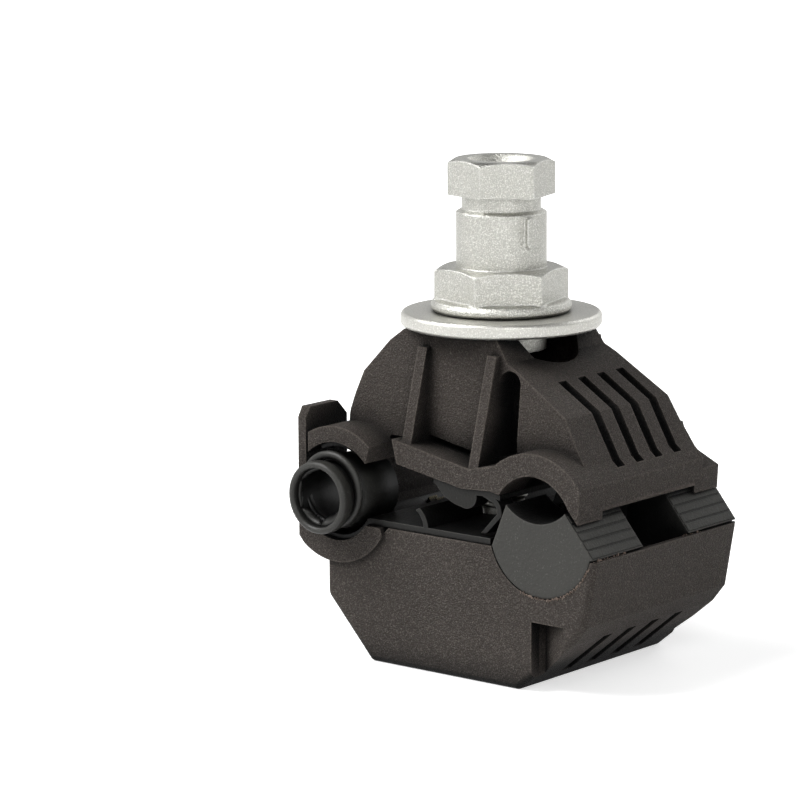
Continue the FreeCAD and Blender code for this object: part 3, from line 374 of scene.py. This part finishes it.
# A ring profile of (radius, along) turned about an axis through centre
def turnedMesh(name, profile, axis, centre, segments, closed):
    mesh = bpy.data.meshes.new(name)
    work = bmesh.new()
    rings = []
    for step in range(segments):
        angle = 2 * math.pi * step / segments
        ring = []
        for radius, along in profile:
            around = (radius * math.cos(angle), radius * math.sin(angle))
            place = (around[0], along, around[1]) if axis == "Y" else (around[0], around[1], along)
            ring.append(work.verts.new(Vector(place) * mm + Vector(centre)))
        rings.append(ring)
    count = len(profile)
    for step in range(segments):
        near = rings[step]
        far = rings[(step + 1) % segments]
        for index in range(count if closed else count - 1):
            following = (index + 1) % count
            work.faces.new((near[index], near[following], far[following], far[index]))
    if not closed:
        work.faces.new([ring[0] for ring in rings])
        work.faces.new([ring[-1] for ring in rings])
    bmesh.ops.recalc_face_normals(work, faces=work.faces)
    for face in work.faces:
        face.smooth = True
    work.to_mesh(mesh)
    work.free()
    return mesh


# Geometry Nodes helpers: a tree with named inputs, its end, and a plain mesh from it
def newTree(name, inputs):
    tree = bpy.data.node_groups.new(name, "GeometryNodeTree")
    tree.interface.new_socket("Geometry", in_out="INPUT", socket_type="NodeSocketGeometry")
    for label, kind in inputs:
        tree.interface.new_socket(label, in_out="INPUT", socket_type=kind)
    tree.interface.new_socket("Geometry", in_out="OUTPUT", socket_type="NodeSocketGeometry")
    return tree, tree.nodes.new("NodeGroupInput"), tree.nodes.new("NodeGroupOutput")


def finishTree(tree, start, finish, made):
    solid = tree.nodes.new("GeometryNodeRealizeInstances")
    paint = tree.nodes.new("GeometryNodeSetMaterial")
    tree.links.new(made, solid.inputs[0])
    tree.links.new(solid.outputs[0], paint.inputs["Geometry"])
    tree.links.new(start.outputs["Finish"], paint.inputs["Material"])
    tree.links.new(paint.outputs["Geometry"], finish.inputs[0])


def meshFromTree(name, tree, values):
    maker = bpy.data.objects.new(name + "Maker", bpy.data.meshes.new(name + "Seed"))
    bpy.context.scene.collection.objects.link(maker)
    modifier = maker.modifiers.new("build", "NODES")
    modifier.node_group = tree
    for item in tree.interface.items_tree:
        if item.item_type == "SOCKET" and item.in_out == "INPUT" and item.name in values:
            modifier[item.identifier] = values[item.name]
    evaluated = maker.evaluated_get(bpy.context.evaluated_depsgraph_get())
    mesh = bpy.data.meshes.new_from_object(evaluated)
    maker.modifiers.remove(modifier)
    bpy.data.objects.remove(maker)
    return mesh


# Clamp bolt in mm: hexagon head flush in the base, plain shank, M6 thread
bolt = {
    "headFlats": 10.0,
    "headLevels": [(0.0, 0.5), (0.28, 0.0), (4.0, 0.0)],  # height, and how far the corner is cut back
    "headRound": 0.15,
    "shank": [(2.62, 3.9), (2.98, 4.2), (2.98, 16.1), (2.62, 16.6), (2.62, 48.0), (2.12, 48.5)],
    "shankSides": 40, "shankRound": 0.08,
    "threadRadius": 3.0, "ridge": 0.46, "pitch": 1.0, "threadBottom": 17.0, "threadTop": 47.9,
    "stepsPerTurn": 28,
}


def makeBoltHead():
    corner = bolt["headFlats"] / math.sqrt(3)
    work = bmesh.new()
    rings = []
    for along, shrink in bolt["headLevels"]:
        ring = []
        for step in range(6):
            angle = math.radians(60 * step)
            reach = (corner - shrink) * mm
            ring.append(work.verts.new((reach * math.cos(angle), reach * math.sin(angle), along * mm)))
        rings.append(ring)
    for low, high in zip(rings, rings[1:]):
        for step in range(6):
            work.faces.new((low[step], low[(step + 1) % 6], high[(step + 1) % 6], high[step]))
    work.faces.new(rings[0])
    work.faces.new(rings[-1])
    bmesh.ops.recalc_face_normals(work, faces=work.faces)
    mesh = bpy.data.meshes.new("boltHead")
    work.to_mesh(mesh)
    work.free()
    piece = plainObject("boltHead", mesh, "platedSteel", "lower", "clamp_bolt")
    addSoftEdges(piece, bolt["headRound"] * mm, 2, 20)


def makeBoltShank():
    mesh = turnedMesh("boltShank", bolt["shank"], "Z", (0, 0, 0), bolt["shankSides"], False)
    piece = plainObject("boltShank", mesh, "platedSteel", "lower", "clamp_bolt")
    addSoftEdges(piece, bolt["shankRound"] * mm, 2, 30)


# One ridge that winds up the shank
def makeThread():
    tree, start, finish = newTree("threadWinding", [
        ("Turns", "NodeSocketFloat"), ("Height", "NodeSocketFloat"), ("Middle radius", "NodeSocketFloat"),
        ("Ridge size", "NodeSocketFloat"), ("Bottom", "NodeSocketVector"), ("Steps", "NodeSocketInt"),
        ("Finish", "NodeSocketMaterial"),
    ])
    spiral = tree.nodes.new("GeometryNodeCurveSpiral")
    tree.links.new(start.outputs["Steps"], spiral.inputs["Resolution"])
    tree.links.new(start.outputs["Turns"], spiral.inputs["Rotations"])
    tree.links.new(start.outputs["Middle radius"], spiral.inputs["Start Radius"])
    tree.links.new(start.outputs["Middle radius"], spiral.inputs["End Radius"])
    tree.links.new(start.outputs["Height"], spiral.inputs["Height"])
    upright = tree.nodes.new("GeometryNodeSetCurveNormal")
    upright.mode = "Z_UP"
    tree.links.new(spiral.outputs[0], upright.inputs[0])
    ridge = tree.nodes.new("GeometryNodeCurvePrimitiveCircle")
    ridge.inputs["Resolution"].default_value = 4
    tree.links.new(start.outputs["Ridge size"], ridge.inputs["Radius"])
    swept = tree.nodes.new("GeometryNodeCurveToMesh")
    swept.inputs["Fill Caps"].default_value = True
    tree.links.new(upright.outputs[0], swept.inputs["Curve"])
    tree.links.new(ridge.outputs[0], swept.inputs["Profile Curve"])
    lifted = tree.nodes.new("GeometryNodeTransform")
    tree.links.new(swept.outputs[0], lifted.inputs["Geometry"])
    tree.links.new(start.outputs["Bottom"], lifted.inputs["Translation"])
    finishTree(tree, start, finish, lifted.outputs[0])
    tall = bolt["threadTop"] - bolt["threadBottom"]
    mesh = meshFromTree("boltThread", tree, {
        "Turns": tall / bolt["pitch"], "Height": tall * mm,
        "Middle radius": (bolt["threadRadius"] - bolt["ridge"]) * mm, "Ridge size": bolt["ridge"] * mm,
        "Bottom": (0.0, 0.0, bolt["threadBottom"] * mm), "Steps": bolt["stepsPerTurn"],
        "Finish": materials["platedSteel"],
    })
    plainObject("boltThread", mesh, "platedSteel", "lower", "clamp_bolt")


makeBoltHead()
makeBoltShank()
makeThread()
print("clamp bolt made")


# Fine ribs on the two sloping blocks of the main seal, in mm: foot and crest are x and z, from and to are y
ribs = {
    "foot": (22.8, 15.75), "crest": (18.95, 20.45), "rows": 5, "pitch": 1.12, "first": 0.75,
    "thickness": 0.08, "height": 0.92, "from": -13.2, "to": -4.4, "round": 0.04,
}


def makeSealRibs():
    tree, start, finish = newTree("sealRibRows", [
        ("Rows", "NodeSocketInt"), ("First", "NodeSocketVector"), ("Step", "NodeSocketVector"),
        ("Bar size", "NodeSocketVector"), ("Tilt", "NodeSocketVector"), ("Block shift", "NodeSocketVector"),
        ("Finish", "NodeSocketMaterial"),
    ])
    rows = tree.nodes.new("GeometryNodeMeshLine")
    rows.mode = "OFFSET"
    tree.links.new(start.outputs["Rows"], rows.inputs["Count"])
    tree.links.new(start.outputs["First"], rows.inputs["Start Location"])
    tree.links.new(start.outputs["Step"], rows.inputs["Offset"])
    bar = tree.nodes.new("GeometryNodeMeshCube")
    tree.links.new(start.outputs["Bar size"], bar.inputs["Size"])
    placed = tree.nodes.new("GeometryNodeInstanceOnPoints")
    tree.links.new(rows.outputs[0], placed.inputs["Points"])
    tree.links.new(bar.outputs[0], placed.inputs["Instance"])
    tree.links.new(start.outputs["Tilt"], placed.inputs["Rotation"])
    second = tree.nodes.new("GeometryNodeTransform")
    tree.links.new(placed.outputs[0], second.inputs["Geometry"])
    tree.links.new(start.outputs["Block shift"], second.inputs["Translation"])
    both = tree.nodes.new("GeometryNodeJoinGeometry")
    tree.links.new(placed.outputs[0], both.inputs[0])
    tree.links.new(second.outputs[0], both.inputs[0])
    finishTree(tree, start, finish, both.outputs[0])
    foot = Vector((ribs["foot"][0], 0, ribs["foot"][1]))
    slope = (Vector((ribs["crest"][0], 0, ribs["crest"][1])) - foot).normalized()
    middle = (ribs["from"] + ribs["to"]) / 2
    first = foot + slope * ribs["first"] + Vector((0, middle, 0))
    mesh = meshFromTree("sealRibs", tree, {
        "Rows": ribs["rows"], "First": tuple(first * mm), "Step": tuple(slope * ribs["pitch"] * mm),
        "Bar size": (ribs["thickness"] * mm, (ribs["to"] - ribs["from"]) * mm, ribs["height"] * mm),
        "Tilt": (0.0, math.atan2(slope.x, slope.z), 0.0), "Block shift": (0.0, -2 * middle * mm, 0.0),
        "Finish": materials["sealRubber"],
    })
    piece = plainObject("sealRibs", mesh, "sealRubber", "lower", None)
    addSoftEdges(piece, ribs["round"] * mm, 2, 30)


makeSealRibs()
print("seal ribs made")


# Rubber sleeve in mm: rolled mouth, a second ring behind it and the tube, as (radius, depth)
sleeve = {
    "profile": [
        (3.3, 1.3), (3.3, 0.4), (3.4, 0.12), (3.62, 0.0), (3.86, 0.05), (4.03, 0.2), (4.1, 0.5), (4.1, 1.25),
        (3.98, 1.6), (3.75, 1.8), (3.65, 2.2), (3.7, 3.4), (3.95, 3.8), (4.1, 4.4), (4.25, 5.1), (4.25, 9.3),
        (4.1, 9.4), (3.6, 9.4), (3.5, 9.3), (3.5, 4.6), (3.4, 3.4), (3.3, 2.2),
    ],
    "ring": [
        (3.5, 2.4), (3.95, 2.3), (4.25, 2.38), (4.4, 2.62), (4.38, 2.95), (4.2, 3.2), (3.9, 3.3), (3.5, 3.3),
    ],
    "ringRise": 0.55, "sides": 72,
}
# Torn flaps of the pierced mouth: lengths in mm, bends in degrees, widths as shares of a flap's turn
flaps = {
    "lengths": [1.5, 1.25, 0.4, 0.35, 0.95, 1.75], "root": 3.32, "depth": 0.95, "thickness": 0.32,
    "bend": 64.0, "bendSpread": 12.0, "bendStep": 2.4, "curl": 0.6,
    "halfWidth": 0.48, "narrowing": 0.24, "ragged": 0.22, "raggedStep": 2.6, "rows": 4, "columns": 8,
}


# along is the distance from the root, and sweep its share of the flap's length
def flapPoint(sweep, along, lean, angle):
    bend = lean * (1 - flaps["curl"] + flaps["curl"] * sweep)
    radius = flaps["root"] - along * math.cos(bend)
    depth = flaps["depth"] + along * math.sin(bend)
    return Vector((radius * math.cos(angle), depth, radius * math.sin(angle))) * mm


def makeSleeve():
    low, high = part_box("branch_sleeve")
    centre = Vector(((low.x + high.x) / 2, low.y, (low.z + high.z) / 2))
    mesh = turnedMesh("sleeveTube", sleeve["profile"], "Y", centre, sleeve["sides"], True)
    plainObject("sleeveTube", mesh, "sleeveRubber", "sleeve", "branch_sleeve")
    raised = centre + Vector((0, 0, sleeve["ringRise"] * mm))
    mesh = turnedMesh("sleeveRing", sleeve["ring"], "Y", raised, sleeve["sides"], True)
    plainObject("sleeveRing", mesh, "sleeveRubber", "sleeve", "branch_sleeve")
    makeFlaps(centre)


def makeFlaps(centre):
    work = bmesh.new()
    share = 2 * math.pi / len(flaps["lengths"])
    for flap, length in enumerate(flaps["lengths"]):
        lean = math.radians(flaps["bend"] + flaps["bendSpread"] * math.sin(flap * flaps["bendStep"]))
        rows = []
        for row in range(flaps["rows"] + 1):
            sweep = row / flaps["rows"]
            half = share * (flaps["halfWidth"] - flaps["narrowing"] * sweep * sweep)
            line = []
            for column in range(flaps["columns"] + 1):
                across = 2 * column / flaps["columns"] - 1
                ragged = 1 + flaps["ragged"] * sweep * math.sin(column * flaps["raggedStep"] + flap)
                angle = flap * share + half * across
                place = centre + flapPoint(sweep, length * sweep * ragged, lean, angle)
                line.append(work.verts.new(place))
            rows.append(line)
        for near, far in zip(rows, rows[1:]):
            for column in range(flaps["columns"]):
                work.faces.new((near[column], near[column + 1], far[column + 1], far[column]))
    for face in work.faces:
        face.smooth = True
    mesh = bpy.data.meshes.new("sleeveFlaps")
    work.to_mesh(mesh)
    work.free()
    piece = plainObject("sleeveFlaps", mesh, "sleeveRubber", "sleeve", "branch_sleeve")
    wall = piece.modifiers.new("wall", "SOLIDIFY")
    wall.thickness = flaps["thickness"] * mm
    wall.offset = 0.0


makeSleeve()
print("rubber sleeve made")


# Chips and burrs left by moulding, along the seal's seat and the wall's top edge; mm and degrees
chips = {
    "seatCentre": (15.7, -13.38, 17.55), "seatRadius": 7.0, "seatFrom": -112.0, "seatSweep": 88.0,
    "seatCount": 64, "seatSeed": 4,
    "wallFrom": (22.7, -13.1, 15.58), "wallTo": (22.7, -7.6, 15.58), "wallCount": 26, "wallSeed": 7,
    "backFrom": (22.7, 3.2, 15.58), "backTo": (22.7, 6.4, 15.58), "backCount": 12, "backSeed": 9,
    "size": 0.12, "spread": 0.1, "spreadAlong": 0.4,  # spreadAlong is a share of spread
    "leastStretch": (0.4, 0.3, 0.3), "mostStretch": (2.4, 1.1, 1.3), "mostTurn": (6.28, 6.28, 6.28),
}


# Small rough grains strewn along a curve, then finished
def strewChips(tree, start, finish, curve):
    spaced = tree.nodes.new("GeometryNodeResampleCurve")
    tree.links.new(curve, spaced.inputs["Curve"])
    tree.links.new(start.outputs["Count"], spaced.inputs["Count"])
    points = tree.nodes.new("GeometryNodeCurveToPoints")
    points.mode = "EVALUATED"
    tree.links.new(spaced.outputs[0], points.inputs["Curve"])
    away = tree.nodes.new("FunctionNodeRandomValue")
    away.data_type = "FLOAT_VECTOR"
    tree.links.new(start.outputs["Least shift"], away.inputs[0])
    tree.links.new(start.outputs["Most shift"], away.inputs[1])
    tree.links.new(start.outputs["Seed"], away.inputs["Seed"])
    moved = tree.nodes.new("GeometryNodeSetPosition")
    tree.links.new(points.outputs[0], moved.inputs["Geometry"])
    tree.links.new(away.outputs[0], moved.inputs["Offset"])
    grain = tree.nodes.new("GeometryNodeMeshIcoSphere")
    grain.inputs["Subdivisions"].default_value = 1
    tree.links.new(start.outputs["Size"], grain.inputs["Radius"])
    stretch = tree.nodes.new("FunctionNodeRandomValue")
    stretch.data_type = "FLOAT_VECTOR"
    stretch.inputs[0].default_value = chips["leastStretch"]
    stretch.inputs[1].default_value = chips["mostStretch"]
    tree.links.new(start.outputs["Seed"], stretch.inputs["Seed"])
    turn = tree.nodes.new("FunctionNodeRandomValue")
    turn.data_type = "FLOAT_VECTOR"
    turn.inputs[1].default_value = chips["mostTurn"]
    placed = tree.nodes.new("GeometryNodeInstanceOnPoints")
    tree.links.new(moved.outputs[0], placed.inputs["Points"])
    tree.links.new(grain.outputs[0], placed.inputs["Instance"])
    tree.links.new(stretch.outputs[0], placed.inputs["Scale"])
    tree.links.new(turn.outputs[0], placed.inputs["Rotation"])
    finishTree(tree, start, finish, placed.outputs[0])


chipInputs = [
    ("Count", "NodeSocketInt"), ("Size", "NodeSocketFloat"), ("Least shift", "NodeSocketVector"),
    ("Most shift", "NodeSocketVector"), ("Seed", "NodeSocketInt"), ("Finish", "NodeSocketMaterial"),
]


def chipValues(part):
    spread = chips["spread"] * mm
    along = chips["spreadAlong"] * spread
    return {
        "Count": chips[part + "Count"], "Size": chips["size"] * mm, "Seed": chips[part + "Seed"],
        "Least shift": (-spread, -along, -spread), "Most shift": (spread, along, spread),
        "Finish": materials["chippedPlastic"],
    }


def makeSeatChips():
    tree, start, finish = newTree("seatChips", chipInputs + [
        ("Radius", "NodeSocketFloat"), ("From", "NodeSocketFloat"), ("Sweep", "NodeSocketFloat"),
        ("Centre", "NodeSocketVector"),
    ])
    arc = tree.nodes.new("GeometryNodeCurveArc")
    tree.links.new(start.outputs["Radius"], arc.inputs["Radius"])
    tree.links.new(start.outputs["From"], arc.inputs["Start Angle"])
    tree.links.new(start.outputs["Sweep"], arc.inputs["Sweep Angle"])
    raised = tree.nodes.new("GeometryNodeTransform")
    raised.inputs["Rotation"].default_value = (math.radians(90), 0.0, 0.0)
    tree.links.new(arc.outputs[0], raised.inputs["Geometry"])
    tree.links.new(start.outputs["Centre"], raised.inputs["Translation"])
    strewChips(tree, start, finish, raised.outputs[0])
    values = chipValues("seat")
    values["Radius"] = chips["seatRadius"] * mm
    values["From"] = math.radians(chips["seatFrom"])
    values["Sweep"] = math.radians(chips["seatSweep"])
    values["Centre"] = tuple(Vector(chips["seatCentre"]) * mm)
    mesh = meshFromTree("seatChips", tree, values)
    plainObject("seatChips", mesh, "chippedPlastic", "lower", None)


def makeWallChips():
    tree, start, finish = newTree("wallChips", chipInputs + [
        ("From", "NodeSocketVector"), ("To", "NodeSocketVector"),
    ])
    line = tree.nodes.new("GeometryNodeCurvePrimitiveLine")
    tree.links.new(start.outputs["From"], line.inputs["Start"])
    tree.links.new(start.outputs["To"], line.inputs["End"])
    strewChips(tree, start, finish, line.outputs[0])
    for part in ("wall", "back"):
        values = chipValues(part)
        values["From"] = tuple(Vector(chips[part + "From"]) * mm)
        values["To"] = tuple(Vector(chips[part + "To"]) * mm)
        mesh = meshFromTree(part + "Chips", tree, values)
        plainObject(part + "Chips", mesh, "chippedPlastic", "lower", None)


makeSeatChips()
makeWallChips()
print("moulding chips made")


# CAD nodes shown as rounded copies: name, edge width in mm, segments, slot, seam in mm
softened = {
    "lower_body": ("lowerHousing", 0.35, 3, "housing", 0.0),
    "upper_body": ("upperHousing", 0.25, 3, "housing", 0.0),
    "shear_nut": ("shearNut", 0.3, 3, "zinc", 0.0),
    "flat_washer": ("flatWasher", 0.1, 2, "steel", 0.0),
    "lower_main_seal": ("mainSealLower", 0.15, 2, "rubber", 0.09),
    "upper_main_seal": ("mainSealUpper", 0.12, 2, "rubber", 0.0),
    "lower_branch_seal": ("branchSealLower", 0.08, 2, "rubber", 0.0),
}
shaped = ["clamp_bolt", "branch_sleeve"]  # made above
for node, (name, width, segments, slot, inset) in softened.items():
    roundedCopy(node, name, width * mm, segments, inset * mm)

# The rest keep their CAD shape and get their finish
for node, finish in nodeFinish.items():
    if node in softened or node in shaped:
        continue
    nodes[node].data.materials.clear()
    nodes[node].data.materials.append(materials[finish])
print("CAD pieces finished:", len(nodeFinish))


white = (1.0, 1.0, 1.0, 1.0)

# Pale floor in metres: it glows to the camera by lift near the object, and fully from fadeTo on
floorLook = {
    "reach": 1.6, "color": (0.84, 0.84, 0.84, 1.0), "roughness": 0.75, "specular": 0.1,
    "lift": 0.6, "mirrored": 0.45, "fadeFrom": 0.06, "fadeTo": 0.5,
}


def makeFloor():
    reach = floorLook["reach"]
    mesh = bpy.data.meshes.new("floor")
    corners = [(-reach, -reach, 0), (reach, -reach, 0), (reach, reach, 0), (-reach, reach, 0)]
    mesh.from_pydata(corners, [], [(0, 1, 2, 3)])
    floor = bpy.data.objects.new("floor", mesh)
    bpy.context.scene.collection.objects.link(floor)
    material = bpy.data.materials.new("paleFloor")
    material.use_nodes = True
    tree = material.node_tree
    shader = tree.nodes["Principled BSDF"]
    shader.inputs["Base Color"].default_value = floorLook["color"]
    shader.inputs["Roughness"].default_value = floorLook["roughness"]
    shader.inputs["Specular IOR Level"].default_value = floorLook["specular"]
    shader.inputs["Emission Color"].default_value = white
    place = tree.nodes.new("ShaderNodeTexCoord")
    away = tree.nodes.new("ShaderNodeVectorMath")
    away.operation = "LENGTH"
    tree.links.new(place.outputs["Object"], away.inputs[0])
    fade = tree.nodes.new("ShaderNodeMapRange")
    fade.interpolation_type = "SMOOTHSTEP"
    fade.inputs["From Min"].default_value = floorLook["fadeFrom"]
    fade.inputs["From Max"].default_value = floorLook["fadeTo"]
    fade.inputs["To Min"].default_value = floorLook["lift"]
    fade.inputs["To Max"].default_value = 1.0
    tree.links.new(away.outputs["Value"], fade.inputs["Value"])
    path = tree.nodes.new("ShaderNodeLightPath")
    seen = mathNode(tree, "MAXIMUM", path.outputs["Is Camera Ray"], path.outputs["Is Transmission Ray"])
    mirrored = mathNode(tree, "MULTIPLY", path.outputs["Is Glossy Ray"], floorLook["mirrored"])
    seen = mathNode(tree, "MAXIMUM", seen, mirrored)
    glow = mathNode(tree, "MULTIPLY", fade.outputs["Result"], seen)
    tree.links.new(glow, shader.inputs["Emission Strength"])
    mesh.materials.append(material)


def addLamp(name, place, target, size, power):
    light = bpy.data.lights.new(name, "AREA")
    light.shape = "RECTANGLE"
    light.size = size[0]
    light.size_y = size[1]
    light.energy = power
    lamp = bpy.data.objects.new(name, light)
    lamp.location = place
    lamp.rotation_euler = (Vector(target) - Vector(place)).to_track_quat("-Z", "Y").to_euler()
    bpy.context.scene.collection.objects.link(lamp)


# The room that metal and gloss reflect, from low to high, and the light it gives
studio = {"horizon": 0.88, "horizonTop": 0.18, "ceiling": 0.02, "ceilingFrom": 0.75, "ambient": 0.1}
lampTarget = (0, 0, 0.03)
lamps = {
    "keySoftbox": {"place": (-0.36, -0.36, 0.62), "size": (0.45, 0.45), "power": 7.5},
    "fillSoftbox": {"place": (0.55, -0.42, 0.5), "size": (0.45, 0.45), "power": 2.6},
    "backSoftbox": {"place": (0.1, 0.65, 0.5), "size": (0.5, 0.4), "power": 1.4},
}


# White to the camera, a pale room with a dark ceiling to metal and gloss
def makeWorld():
    world = bpy.data.worlds.new("studio")
    world.use_nodes = True
    tree = world.node_tree
    background = tree.nodes["Background"]
    background.inputs["Color"].default_value = white
    path = tree.nodes.new("ShaderNodeLightPath")
    seen = mathNode(tree, "MAXIMUM", path.outputs["Is Camera Ray"], path.outputs["Is Transmission Ray"])
    glossy = path.outputs["Is Glossy Ray"]
    direction = tree.nodes.new("ShaderNodeTexCoord")
    split = tree.nodes.new("ShaderNodeSeparateXYZ")
    tree.links.new(direction.outputs["Generated"], split.inputs["Vector"])
    height = tree.nodes.new("ShaderNodeMapRange")
    height.interpolation_type = "SMOOTHSTEP"
    height.inputs["From Min"].default_value = studio["horizonTop"]
    height.inputs["From Max"].default_value = studio["ceilingFrom"]
    height.inputs["To Min"].default_value = studio["horizon"]
    height.inputs["To Max"].default_value = studio["ceiling"]
    tree.links.new(split.outputs["Z"], height.inputs["Value"])
    shine = mathNode(tree, "MULTIPLY", glossy, height.outputs["Result"])
    dull = mathNode(tree, "MULTIPLY", mathNode(tree, "SUBTRACT", 1.0, glossy), studio["ambient"])
    room = mathNode(tree, "ADD", shine, dull)
    hidden = mathNode(tree, "SUBTRACT", 1.0, seen)
    strength = mathNode(tree, "MULTIPLY_ADD", hidden, room, seen)
    tree.links.new(strength, background.inputs["Strength"])
    bpy.context.scene.world = world


# Angles in degrees, distance and height in metres, lens and sensor in mm
shot = {
    "azimuth": 38.0, "elevation": 10.6, "distance": 0.42, "height": 0.0272,
    "lens": 167.0, "sensor": 36.0, "shiftX": -0.119, "shiftY": 0.0095, "nearest": 0.01,
}


def makeCamera():
    azimuth = math.radians(shot["azimuth"])
    elevation = math.radians(shot["elevation"])
    target = Vector((0, 0, shot["height"]))
    level = math.cos(elevation)
    away = Vector((math.sin(azimuth) * level, -math.cos(azimuth) * level, math.sin(elevation)))
    camera = bpy.data.cameras.new("camera")
    camera.lens = shot["lens"]
    camera.sensor_width = shot["sensor"]
    camera.shift_x = shot["shiftX"]
    camera.shift_y = shot["shiftY"]
    camera.clip_start = shot["nearest"]
    eye = bpy.data.objects.new("camera", camera)
    eye.location = target + away * shot["distance"]
    eye.rotation_euler = (-away).to_track_quat("-Z", "Y").to_euler()
    bpy.context.scene.collection.objects.link(eye)
    bpy.context.scene.camera = eye


makeFloor()
makeWorld()
for name, lamp in lamps.items():
    addLamp(name, lamp["place"], lampTarget, lamp["size"], lamp["power"])
makeCamera()
bpy.context.scene.view_settings.view_transform = "Standard"
print("stage, lamps and camera made")
